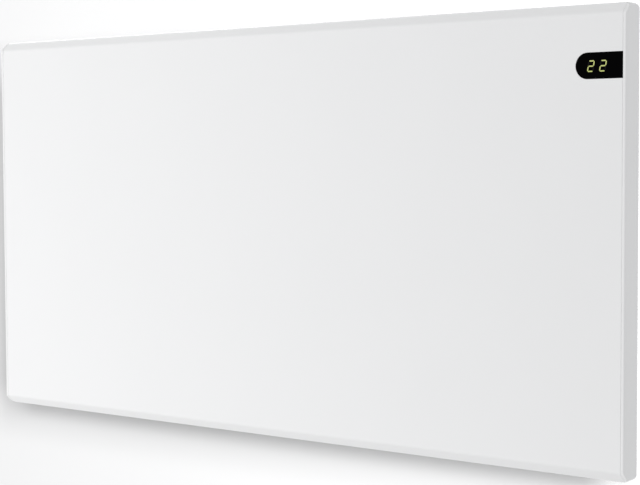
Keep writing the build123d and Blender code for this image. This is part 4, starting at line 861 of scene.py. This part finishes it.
# ---------------------------------------------------------------------------- leads and ribbon
@dataclass
class Wiring:
    """Insulated leads of the control side, each in its own colour."""

    radius: float = 1.1
    stripe_share: float = 0.72
    stripe_lift: float = 0.35

    def build(self) -> list[Piece]:
        """Draws the leads.

        Returns:
            The pieces.
        """
        live = [
            [(288, -30.3, -134), (288, -30.3, -118), (294, -42, -108), (304, -42, -108)],
            [(304, -42, -92), (294, -42, -92), (294, -42, -60), (299, -35.4, -25), (299, -35.4, 5)],
            [(266, -38, -26), (281, -38, -26), (289, -35.4, -16), (289, -35.4, 5)],
        ]
        hot = [[(268, -42, -60), (278, -42, -60), (278, -46, -26), (266, -46, -26)]]
        neutral = [[(276, -30.3, -134), (276, -30.3, -118), (278, -42, -90), (268, -42, -90)]]
        sensor = [[(276, -42, -166), (276, -42, -156), (284, -50, -136), (284, -50, -40), (279, -35.4, -17),
                   (279, -35.4, 5)]]
        earth = [(303, -24.4, -132), (303, -25.6, -119), (295, -28.5, -111), (273, -28.5, -111),
                 (264, -30.3, -121), (264, -30.3, -134)]
        stripe = [(x + self.stripe_lift, y - self.stripe_lift, z) for x, y, z in earth]
        leads = (("live_leads", live, LEAD_BROWN), ("element_lead", hot, LEAD_RED),
                 ("neutral_lead", neutral, LEAD_BLUE), ("sensor_lead", sensor, LEAD_WHITE),
                 ("earth_lead", [earth], LEAD_GREEN))
        return [*(Strand(name, routes, self.radius, finish).build("internal_leads")
                  for name, routes, finish in leads),
                Strand("earth_lead_stripe", [stripe], self.stripe_share * self.radius, LEAD_YELLOW).build(),
                self.sleeves()]

    def sleeves(self) -> Piece:
        """Clear-white sleeves where the leads meet blades and clamps."""
        mould = Mould()
        outline = ((1.15, 0.0), (1.75, 0.15), (1.85, 0.5), (1.7, 3.0), (1.85, 5.4), (1.75, 5.8), (1.15, 6.0))
        ends = (((298.0, -42.0, -108.0), Facing.RIGHT), ((298.0, -42.0, -92.0), Facing.RIGHT),
                ((275.5, -42.0, -90.0), Facing.LEFT), ((275.5, -42.0, -60.0), Facing.LEFT),
                ((303.0, -24.9, -125.0), Facing.DOWN))
        for foot, facing in ends:
            mould.turned(outline, foot, facing, steps=20, closed=True)
        return mould.piece("lead_sleeves", NYLON, HEATER_NYLON)


@dataclass
class Ribbon:
    """Flat ribbon lead of ten joined wires, the first of them marked red."""

    left_x: float = 297.5
    width: float = 12.0
    wires: int = 10
    wire_share: float = 0.52
    spine: tuple[tuple[float, float], ...] = (
        (-73.9, 126.0), (-66.0, 126.0), (-56.0, 126.0), (-51.6, 124.2), (-49.7, 119.8), (-49.7, 101.0),
        (-49.7, 83.2), (-48.0, 78.8), (-43.6, 77.0), (-37.4, 77.0))

    def build(self) -> list[Piece]:
        """Draws the wires side by side.

        Returns:
            The pieces.
        """
        pitch = self.width / self.wires
        lanes = [[(self.left_x + (lane + 0.5) * pitch, y, z) for y, z in self.spine]
                 for lane in range(self.wires)]
        radius = self.wire_share * pitch
        return [Strand("ribbon_first_wire", lanes[:1], radius, LEAD_RED).build("ribbon_lead"),
                Strand("ribbon_wires", lanes[1:], radius, RIBBON_GREY).build("ribbon_lead")]


# ------------------------------------------------------------------------- gland, switch, locks
@dataclass
class Gland:
    """Ribbed clamping cap of the lead's gland and the rubber seal in it."""

    x: float = 306.0
    y: float = -42.0
    top_z: float = -174.0
    radius: float = 9.5
    bore: float = 4.6
    height: float = 8.5
    flutes: int = 18
    flute_depth: float = 0.55

    def build(self) -> list[Piece]:
        """Turns the cap and the seal.

        Returns:
            The pieces.
        """
        cap, seal, foot = Mould(), Mould(), (self.x, self.y, self.top_z)
        wide, bore, tall = self.radius, self.bore, self.height
        cap.turned(((bore, 0.0), (wide - 0.7, 0.0), (wide - 0.4, 0.35), (wide, 0.7, 1.0), (wide, 4.6, 1.0),
                    (wide - 0.35, 5.7, 0.8), (wide - 1.1, 6.9, 0.4), (wide - 2.3, 7.9), (wide - 3.6, tall),
                    (bore + 0.5, tall), (bore, tall - 0.5)), foot, Facing.DOWN, steps=144, flutes=self.flutes,
                   flute_depth=self.flute_depth, closed=True)
        seal.turned(((3.1, 0.0), (bore - 0.1, 0.0), (bore - 0.1, 6.6), (bore - 0.5, 7.2), (3.5, 7.4),
                     (3.1, 7.0), (2.9, 4.5), (3.1, 2.5)), foot, Facing.DOWN, steps=48, closed=True)
        return [cap.piece("gland_cap_ribbed", GLAND_PLASTIC, HEATER_GLAND, "gland_cap"),
                seal.piece("gland_seal", RUBBER, HEATER_RUBBER)]


@dataclass
class RockerMarks:
    """White ring and bar let into the two faces of the switch's rocker."""

    pivot: Point = (328.0, -42.0, -100.0)
    crown: float = 3.5
    swing: float = 10.0
    throw: float = 7.0
    floor: float = -0.28
    top: float = -0.08

    def build(self) -> list[Piece]:
        """Fills the two recesses just below the faces.

        Returns:
            The piece, which moves with the rocker.
        """
        tilt = math.radians(self.swing)
        reach = self.crown + self.throw * math.tan(tilt)
        ring, bar, floor, top = Mould(), Mould(), self.floor, self.top
        ring.turned(((1.53, floor), (2.17, floor), (2.17, top), (1.53, top)), (0.0, 0.0, 0.0), Facing.UP,
                    steps=40, closed=True)
        bar.block((-2.15, -0.37, floor), (2.15, 0.37, top), edge=0.05)
        frame_turn = Matrix.Translation(self.pivot) @ Matrix.Rotation(-tilt, 4, "Y")
        quarter = math.radians(90.0)
        whole = Mould()
        for part, lift, turn in ((ring, -self.throw, quarter - tilt), (bar, self.throw, quarter + tilt)):
            place = frame_turn @ Matrix.Translation((reach, 0.0, lift)) @ Matrix.Rotation(turn, 4, "Y")
            whole.stamp(part.mesh("mark"), place)
        return [whole.piece("rocker_marks", MARK_WHITE, Berth("rocker", "switch_plastic"))]


@dataclass
class ButtonMarks:
    """Grey signs let into the tops of the three push buttons."""

    xs: tuple[float, ...] = BUTTON_XS
    y: float = -70.6
    top: float = 184.8
    reach: float = 2.0
    stroke: float = 0.8
    floor: float = 0.29
    sink: float = 0.06
    play: float = 0.03

    def build(self) -> list[Piece]:
        """Fills the minus, the plus and the ring.

        Returns:
            The pieces, one on each button.
        """
        low, high = self.top - self.floor, self.top - self.sink
        half, reach = 0.5 * self.stroke - self.play, self.reach - self.play
        minus, plus, ring = Mould(), Mould(), Mould()
        for mould, x in ((minus, self.xs[0]), (plus, self.xs[1])):
            mould.block((x - reach, self.y - half, low), (x + reach, self.y + half, high), edge=0.04)
        x, inner, tall = self.xs[1], reach - 2 * half, high - low
        plus.block((x - half, self.y - reach, low), (x + half, self.y + reach, high), edge=0.04)
        ring.turned(((inner, 0.0), (reach, 0.0), (reach, tall), (inner, tall)), (self.xs[2], self.y, low),
                    Facing.UP, steps=40, closed=True)
        return [mould.piece(f"button_{sign}_mark", MARK_GREY, Berth(f"button_{sign}", "button_plastic"))
                for sign, mould in (("minus", minus), ("plus", plus), ("set", ring))]


@dataclass
class LockGrips:
    """Finger ribs on both sides of each quarter-turn lock's grip."""

    x: float = 150.0
    y: float = -11.0
    half_thickness: float = 2.0
    low: float = 169.2
    high: float = 174.6
    rib_radius: float = 0.55
    rib_pitch: float = 2.7
    rib_root: float = 0.2

    def build(self) -> list[Piece]:
        """Sets the ribs of both locks.

        Returns:
            The pieces, one on each lock.
        """
        made, tall, wide = [], self.high - self.low, self.rib_radius
        rib = ((0.0, 0.0), (0.6 * wide, 0.15), (wide, 0.6), (wide, tall - 0.6), (0.6 * wide, tall - 0.15),
               (0.0, tall))
        for side, sign in (("left", -1.0), ("right", 1.0)):
            mould = Mould()
            for step in range(-2, 3):
                for face in (-1.0, 1.0):
                    y = self.y + face * (self.half_thickness - self.rib_root)
                    foot = (sign * self.x + step * self.rib_pitch, y, self.low)
                    mould.turned(rib, foot, Facing.UP, steps=14)
            berth = Berth(f"lock_{side}", "lock_plastic")
            made.append(mould.piece(f"lock_grip_ribs_{side}", LOCK_PLASTIC, berth))
        return made


# --------------------------------------------------------------------------------- electronics
@dataclass
class Transformer:
    """Ferrite core in two halves round a taped winding, on a pinned bobbin."""

    left: float = 288.0
    right: float = 313.0
    low: float = 16.0
    high: float = 50.0
    front: float = -48.4
    board: float = -30.4
    yoke: float = 4.5
    flange: float = 2.8

    def build(self) -> list[Piece]:
        """Builds core, winding and bobbin.

        Returns:
            The pieces.
        """
        middle, waist = (self.left + self.right) / 2, (self.low + self.high) / 2
        core = Mould()
        for z0, z1 in ((self.low + 3.0, waist - 0.1), (waist + 0.1, self.high - 3.0)):
            for x0, x1 in ((self.left, self.left + self.yoke), (self.right - self.yoke, self.right)):
                core.block((x0, self.front + 2.2, z0), (x1, self.board - 2.6, z1), edge=0.35)
        for z0, z1 in ((self.low + 3.0, self.low + 8.0), (self.high - 8.0, self.high - 3.0)):
            core.block((self.left, self.front + 2.2, z0), (self.right, self.board - 2.6, z1), edge=0.35)
        winding = Mould()
        for z0, z1, inset in ((24.4, 30.1, 0.0), (29.8, 36.2, 0.35), (35.9, 41.6, 0.0)):
            winding.block((self.left + 4.8, self.front + inset, z0), (self.right - 4.8, self.board - 1.6, z1),
                          edge=1.6)
        bobbin = Mould()
        for z0, z1 in ((self.low, self.low + self.flange), (self.high - self.flange, self.high)):
            bobbin.block((middle - 9.5, self.front + 3.2, z0), (middle + 9.5, self.board, z1), edge=0.4)
            end = (z0 if z0 < waist else z1) - 1.0
            for step in range(-2, 3):
                bobbin.turned(((0.0, 0.0), (0.35, 0.1), (0.35, 1.9), (0.0, 2.0)),
                              (middle + 3.6 * step, self.board - 3.2, end), Facing.UP, steps=10)
        return [core.piece("transformer_core", FERRITE, HEATER_DARK, "transformer"),
                winding.piece("transformer_winding", TAPE, HEATER_TAPE, "transformer"),
                bobbin.piece("transformer_bobbin", PHENOLIC, HEATER_PHENOLIC, "transformer")]


@dataclass
class Chip:
    """Moulded chip with bent legs on two or four sides."""

    middle: tuple[float, float]
    seat: float
    side: float
    width: float
    height: float
    legs: int
    pitch: float
    thickness: float = 1.4
    standoff: float = 0.15
    leg_share: float = 0.18
    leg_skin: float = 0.2
    four_sided: bool = False

    def add(self, body: Mould, legs: Mould) -> None:
        """Sets the chip on its board.

        Args:
            body: Mould of the dark bodies.
            legs: Mould of the bright legs.
        """
        x, z = self.middle
        wide, tall, leg = self.width / 2, self.height / 2, self.leg_share * self.pitch
        lift = self.side * self.standoff
        y0, y1 = sorted((self.seat + lift, self.seat + lift + self.side * self.thickness))
        body.block((x - wide, y0, z - tall), (x + wide, y1, z + tall), edge=0.25)
        for step in range(self.legs):
            offset = (step - (self.legs - 1) / 2) * self.pitch
            for way in (-1.0, 1.0):
                legs.slab([(y, z + dz) for y, dz in self.leg(way, tall)], x + offset - leg, x + offset + leg)
                if self.four_sided:
                    turned = [(x + dx, y) for y, dx in self.leg(way, wide)]
                    legs.slab(turned, z + offset - leg, z + offset + leg, along="Z")

    def leg(self, way: float, half: float) -> list[tuple[float, float]]:
        """Side view of one bent leg.

        Args:
            way: Side of the chip, -1 or 1.
            half: Half the body's size across that side.

        Returns:
            (Y, distance from the chip's middle) of its corners.
        """
        mid, foot = self.seat + self.side * 0.75, self.seat + self.side * 0.02
        skin = self.side * self.leg_skin
        line = ((mid, -0.1), (mid, 0.5), (foot, 0.75), (foot, 1.2), (foot + skin, 1.2), (foot + skin, 0.9),
                (mid + skin, 0.65), (mid + skin, -0.1))
        return [(y, way * (half + past)) for y, past in line]


@dataclass
class BoardParts:
    """Small parts on the mains board and on the back of the control board."""

    face: float = -30.4
    back_face: float = -73.9

    def build(self) -> list[Piece]:
        """Builds every small part, grouped by what it is made of.

        Returns:
            The pieces.
        """
        return [*self.cans(), *self.axial_parts(), *self.chips(), *self.fuse(), *self.discs(), self.relay(),
                *self.tact_tops()]

    def cans(self) -> list[Piece]:
        """Electrolytic capacitors: dark sleeve with a bright scored top."""
        sleeve, tops = Mould(), Mould()
        for x, z, wide, tall in ((291.0, 60.5, 5.0, 13.0), (303.5, 60.5, 4.0, 10.0), (312.0, 62.0, 2.5, 7.0)):
            foot = (x, self.face, z)
            sleeve.turned(((0.0, 0.2), (wide - 0.3, 0.2), (wide, 0.5), (wide - 0.25, 1.5), (wide, 2.3),
                           (wide, tall - 0.5), (wide - 0.4, tall), (wide - 0.9, tall - 0.15),
                           (0.0, tall - 0.15)), foot, Facing.ROOM, steps=36)
            tops.turned(((0.0, tall - 0.2), (wide - 0.95, tall - 0.2), (wide - 1.05, tall + 0.05),
                         (0.0, tall + 0.05)), foot, Facing.ROOM, steps=36)
        return [sleeve.piece("can_sleeves", SLEEVE_BLACK, HEATER_DARK),
                tops.piece("can_tops", ALUMINIUM, HEATER_ALUMINIUM)]

    def axial_parts(self) -> list[Piece]:
        """Resistors lying on the board with their bent wires and colour rings."""
        body, rings, wires = Mould(), Mould(), []
        spots = [(264.0, 45.5), (264.0, 49.0), (264.0, 52.5), (288.0, 86.0), (288.0, 90.0), (288.0, 94.0),
                 (303.0, 90.0), (303.0, 94.0)]
        for x, z in spots:
            y = self.face - 1.5
            foot, low = (x + 3.0, y, z), self.face - 0.1
            body.turned(((0.0, 0.0), (0.9, 0.1), (1.25, 0.6), (1.2, 1.5), (1.05, 2.1), (1.05, 4.7),
                         (1.2, 5.3), (1.25, 6.2), (0.9, 6.7), (0.0, 6.8)), foot, Facing.RIGHT, steps=20)
            for start in (0.75, 2.4, 3.4, 5.5):
                wide = 1.29 if start in (0.75, 5.5) else 1.09
                stop, inner = start + 0.55, wide - 0.25
                rings.turned(((inner, start), (wide, start), (wide, stop), (inner, stop)), foot, Facing.RIGHT,
                             steps=20, closed=True)
            wires.append([(x, low, z), (x + 0.1, y + 0.2, z), (x + 1.0, y, z), (x + 3.2, y, z)])
            wires.append([(x + 9.6, y, z), (x + 11.8, y, z), (x + 12.7, y + 0.2, z), (x + 12.8, low, z)])
        return [body.piece("resistor_bodies", RESISTOR_TAN, HEATER_CERAMIC),
                rings.piece("resistor_rings", PHENOLIC, HEATER_PHENOLIC),
                Strand("resistor_wires", wires, 0.3, ZINC, HEATER_ZINC).build()]

    def chips(self) -> list[Piece]:
        """Driver chip of the mains board, and processor and driver of the control board."""
        body, legs = Mould(), Mould()
        Chip((271.5, 92.5), self.face, -1.0, 10.0, 4.2, 8, 1.2).add(body, legs)
        Chip((305.0, 150.0), self.back_face, 1.0, 8.5, 8.5, 9, 0.8, four_sided=True).add(body, legs)
        Chip((326.0, 150.0), self.back_face, 1.0, 8.6, 4.2, 7, 1.1).add(body, legs)
        y = self.back_face
        for x in (296.0, 316.0, 318.4, 320.8):
            body.block((x, y, 139.0), (x + 1.2, y + 0.8, 141.2), edge=0.1)
            for z in (138.7, 141.0):
                legs.block((x - 0.05, y, z), (x + 1.25, y + 0.85, z + 0.5), edge=0.1)
        return [body.piece("chip_bodies", CHIP_BLACK, HEATER_DARK),
                legs.piece("chip_legs", ZINC, HEATER_ZINC)]

    def fuse(self) -> list[Piece]:
        """Ceramic fuse with bright caps in two spring clips."""
        left, z = 262.5, 26.0
        foot = (left, self.face - 3.4, z)
        arm = ((0.0, 2.3), (2.0, 3.0), (4.6, 2.6), (6.2, 3.3), (6.2, 3.6), (4.6, 2.9), (2.0, 3.3), (0.0, 2.6))
        tube, caps = Mould(), Mould()
        tube.turned(((0.0, 4.0), (2.3, 4.0), (2.3, 16.0), (0.0, 16.0)), foot, Facing.RIGHT, steps=32)
        for start in (0.0, 15.0):
            caps.turned(((0.0, start), (2.3, start), (2.55, start + 0.3), (2.55, start + 4.7),
                         (2.3, start + 5.0), (0.0, start + 5.0)), foot, Facing.RIGHT, steps=32)
            x = left + start + 1.2
            for way in (-1.0, 1.0):
                caps.slab([(self.face - rise, z + way * out) for rise, out in arm], x, x + 2.6)
        return [tube.piece("fuse_tube", CERAMIC, HEATER_CERAMIC), caps.piece("fuse_caps", ZINC, HEATER_ZINC)]

    def discs(self) -> list[Piece]:
        """Surge-stopping disc and two filter discs on two wires each."""
        body, wires = Mould(), []
        for x, z, wide in ((268.0, 15.5, 4.6), (279.5, 15.0, 3.0), (284.0, 73.0, 3.2)):
            y = self.face - 2.4 - wide
            body.turned(((0.0, -1.3), (0.6 * wide, -1.25), (0.9 * wide, -0.9), (wide, 0.0), (0.9 * wide, 0.9),
                         (0.6 * wide, 1.25), (0.0, 1.3)), (x, y, z), Facing.UP, steps=36)
            for way in (-0.5, 0.5):
                wires.append([(x + way * wide, self.face, z), (x + way * wide, self.face - 1.6, z),
                              (x + 0.9 * way * wide, y + 0.6 * wide, z)])
        return [body.piece("surge_discs", DISC_BLUE, HEATER_RELAY),
                Strand("disc_wires", wires, 0.35, ZINC, HEATER_ZINC).build()]

    def relay(self) -> Piece:
        """Moulded relay: lid with a draft, seam at its foot and a sealed vent."""
        mould = Mould()
        mould.block((263.0, -31.9, 57.0), (281.0, self.face, 83.0), edge=0.3)
        mould.block((263.25, -45.1, 57.25), (280.75, -32.1, 82.75), edge=0.7, draft=0.25)
        mould.block((263.5, -32.3, 57.5), (280.5, -31.7, 82.5), edge=0.0)
        mould.turned(((0.0, 0.0), (1.0, 0.0), (1.0, 0.2), (0.6, 0.3), (0.0, 0.3)), (277.5, -45.1, 79.5),
                     Facing.ROOM, steps=24)
        mould.block((266.0, -45.25, 60.0), (278.0, -45.0, 75.0), edge=0.1)
        return mould.piece("relay_case", RELAY_PLASTIC, HEATER_RELAY, "relay")

    def tact_tops(self) -> list[Piece]:
        """Bright side plates of the three push switches."""
        frames, y = Mould(), self.back_face
        for middle in BUTTON_XS:
            for x in (middle - 3.1, middle + 3.1):
                frames.block((x - 0.12, y, 168.4), (x + 0.12, y + 6.2, 173.6), edge=0.05)
        return [frames.piece("push_switch_frames", ZINC, HEATER_ZINC)]


# ------------------------------------------------------------------------------------- studio
@dataclass(frozen=True)
class Viewpoint:
    """Camera of the photograph, as found from the panel's edges in it."""

    place: Point = (0.8923, -1.1841, 0.0695)
    yaw: float = 37.171
    drop: float = 3.166
    roll: float = -0.254
    focal_mm: float = 89.08
    sensor_mm: float = 36.0
    clip: tuple[float, float] = (0.01, 50.0)

    def build(self) -> Piece:
        """Makes the camera and hands it to the scene.

        Returns:
            The camera object.
        """
        yaw, drop, roll = (math.radians(a) for a in (self.yaw, self.drop, self.roll))
        ahead = Vector((-math.sin(yaw) * math.cos(drop), math.cos(yaw) * math.cos(drop), -math.sin(drop)))
        right = Vector((math.cos(yaw), math.sin(yaw), 0.0))
        up = right.cross(ahead)
        turned = (right * math.cos(roll) + up * math.sin(roll), up * math.cos(roll) - right * math.sin(roll),
                  -ahead)
        basis = Matrix(turned).transposed()
        data = bpy.data.cameras.new("view_camera")
        data.lens, data.sensor_width, data.sensor_fit = self.focal_mm, self.sensor_mm, "HORIZONTAL"
        data.clip_start, data.clip_end = self.clip
        camera = bpy.data.objects.new("view_camera", data)
        camera.matrix_world = Matrix.Translation(self.place) @ basis.to_4x4()
        bpy.context.scene.camera = shown(camera)
        return camera


class Reach(Enum):
    """What a lamp of the studio shines on."""

    OBJECT = "object"
    WALL = "wall"


@dataclass(frozen=True)
class Lamp:
    """One soft rectangular lamp of the studio."""

    name: str
    place: Point
    target: Point
    size: tuple[float, float]
    power: float
    reach: Reach = Reach.OBJECT

    def build(self) -> Piece:
        """Hangs the lamp and aims it.

        Returns:
            The lamp object.
        """
        data = bpy.data.lights.new(self.name, "AREA")
        data.shape = "RECTANGLE"
        data.size, data.size_y = self.size
        data.energy = self.power
        lamp = bpy.data.objects.new(self.name, data)
        aim = Vector(self.target) - Vector(self.place)
        turn = aim.to_track_quat("-Z", "Y").to_matrix().to_4x4()
        lamp.matrix_world = Matrix.Translation(self.place) @ turn
        return shown(lamp)


LAMPS = (
    Lamp("key_lamp", (-1.40, -1.25, 0.05), (-0.20, -0.08, 0.0), (1.2, 1.2), 4.9),
    Lamp("upper_lamp", (-0.85, -1.20, 0.95), (-0.25, -0.05, 0.0), (1.4, 0.25), 2.6),
    Lamp("lower_lamp", (-0.55, -1.00, -0.66), (-0.10, -0.05, -0.1), (1.6, 0.2), 2.8),
    Lamp("rear_lamp", (-1.50, 1.00, 1.10), (0.0, 0.0, 0.0), (1.0, 0.7), 11.0),
    Lamp("wall_lamp_above", (2.95, -3.85, 1.18), (0.0, 0.0, 0.0), (1.57, 0.76), 196.0, Reach.WALL),
    Lamp("wall_lamp_right", (3.00, -2.56, 0.72), (0.0, 0.0, 0.0), (0.62, 2.06), 245.0, Reach.WALL),
)


@dataclass
class Studio:
    """White wall and pale floor, even surrounding light and soft lamps in front."""

    floor_height: float = -0.62
    wall_setback: float = 0.0008
    size: float = 30.0
    wall_size: float = 10.0
    wall_lit_share: float = 0.474
    wall_own_light: float = 0.12
    floor_lit_share: float = 0.22
    floor_own_light: float = 1.0
    ambient: float = 0.66
    ambient_tint: tuple[float, ...] = (0.985, 0.99, 1.0, 1.0)
    paper_tint: tuple[float, ...] = (0.97, 0.97, 0.972, 1.0)

    def surroundings(self) -> None:
        """World that lights the object evenly and shows white to the eye and in gloss."""
        world = bpy.data.worlds.new("studio_world")
        graph = Graph(world, cleared=True)
        even = graph.node("Background", {"Strength": self.ambient, "Color": self.ambient_tint})
        white = graph.node("Background", {"Strength": 1.0, "Color": (1.0, 1.0, 1.0, 1.0)})
        rays = graph.node("LightPath").outputs
        source = rays["Is Camera Ray"]
        for other in ("Is Glossy Ray", "Is Transmission Ray"):
            source = graph.sum_up("MAXIMUM", source, rays[other])
        mix = graph.node("MixShader", {"Fac": source, 1: even.outputs[0], 2: white.outputs[0]})
        graph.node("OutputWorld", {"Surface": mix.outputs[0]})
        bpy.context.scene.world = world

    def paper(self, name: str, lit_share: float, own_light: float) -> bpy.types.Material:
        """White paper that only the eye in front of it meets.

        A part of it is lit and a part shows its own light, so that shadows stay soft.

        Args:
            name: Name of the material.
            lit_share: Share that is lit.
            own_light: Brightness of the rest.

        Returns:
            The material.
        """
        made = bpy.data.materials.new(name)
        graph = Graph(made, cleared=True)
        sheet = graph.node("BsdfDiffuse", {"Color": self.paper_tint})
        lift = graph.node("Emission", {"Color": (1.0, 1.0, 1.0, 1.0), "Strength": own_light})
        seen = graph.node("LightPath").outputs["Is Camera Ray"]
        share = graph.sum_up("MULTIPLY", seen, 1.0 - lit_share)
        mix = graph.node("MixShader", {"Fac": share, 1: sheet.outputs[0], 2: lift.outputs[0]})
        clear = graph.node("BsdfTransparent")
        behind = graph.node("NewGeometry").outputs["Backfacing"]
        front = graph.sum_up("SUBTRACT", seen, behind, clamp=True)
        choice = graph.node("MixShader", {"Fac": front, 1: clear.outputs[0], 2: mix.outputs[0]})
        graph.node("OutputMaterial", {"Surface": choice.outputs[0]})
        return made

    def backdrop(self, name: str, corners: Sequence[Point], lit_share: float, own_light: float) -> Piece:
        """One flat sheet of the set.

        Args:
            name: Name of the sheet.
            corners: Its four corners, counter-clockwise as seen from its front.
            lit_share: Share of the paper that is lit.
            own_light: Brightness of the rest.

        Returns:
            The sheet.
        """
        mesh = bpy.data.meshes.new(name)
        mesh.from_pydata(corners, [], [(0, 1, 2, 3)])
        mesh.materials.append(self.paper(name, lit_share, own_light))
        sheet = shown(bpy.data.objects.new(name, mesh))
        return sheet

    def receivers(self, reach: Reach, wall: Piece) -> bpy.types.Collection:
        """Collection that tells a lamp what it shines on.

        Args:
            reach: What the lamp shines on.
            wall: The sheet behind the panel.

        Returns:
            The collection, with the wall in it or held out of it.
        """
        made = bpy.data.collections.new(f"shines_on_{reach.value}")
        made.objects.link(wall)
        state = "INCLUDE" if reach is Reach.WALL else "EXCLUDE"
        for entry in made.collection_objects:
            entry.light_linking.link_state = state
        return made

    def build(self) -> None:
        """Sets up the whole studio."""
        bpy.context.scene.view_settings.view_transform = "Standard"
        self.surroundings()
        half, wide, low, back = self.size / 2, self.wall_size / 2, self.floor_height, self.wall_setback
        floor = [(-half, -half, low), (half, -half, low), (half, half, low), (-half, half, low)]
        sheet = [(-wide, back, low), (wide, back, low), (wide, back, wide), (-wide, back, wide)]
        self.backdrop("studio_floor", floor, self.floor_lit_share, self.floor_own_light)
        wall = self.backdrop("studio_wall", sheet, self.wall_lit_share, self.wall_own_light)
        reaches = {reach: self.receivers(reach, wall) for reach in Reach}
        for lamp in LAMPS:
            lamp.build().light_linking.receiver_collection = reaches[lamp.reach]
        Viewpoint().build()


def main() -> None:
    """Builds the studio and every sub-assembly in turn."""
    logging.basicConfig(level=logging.INFO, format="%(name)s: %(message)s")
    Studio().build()
    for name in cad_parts:
        dress(name)
    log.info("dressed %d nodes", len(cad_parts))
    for assembly in (Fasteners(), Wiring(), Ribbon(), Gland(), RockerMarks(), ButtonMarks(), LockGrips(),
                     Transformer(), BoardParts()):
        for piece in assembly.build():
            log.info("%s: %s", type(assembly).__name__, piece.name)


if __name__ == "__main__":
    main()
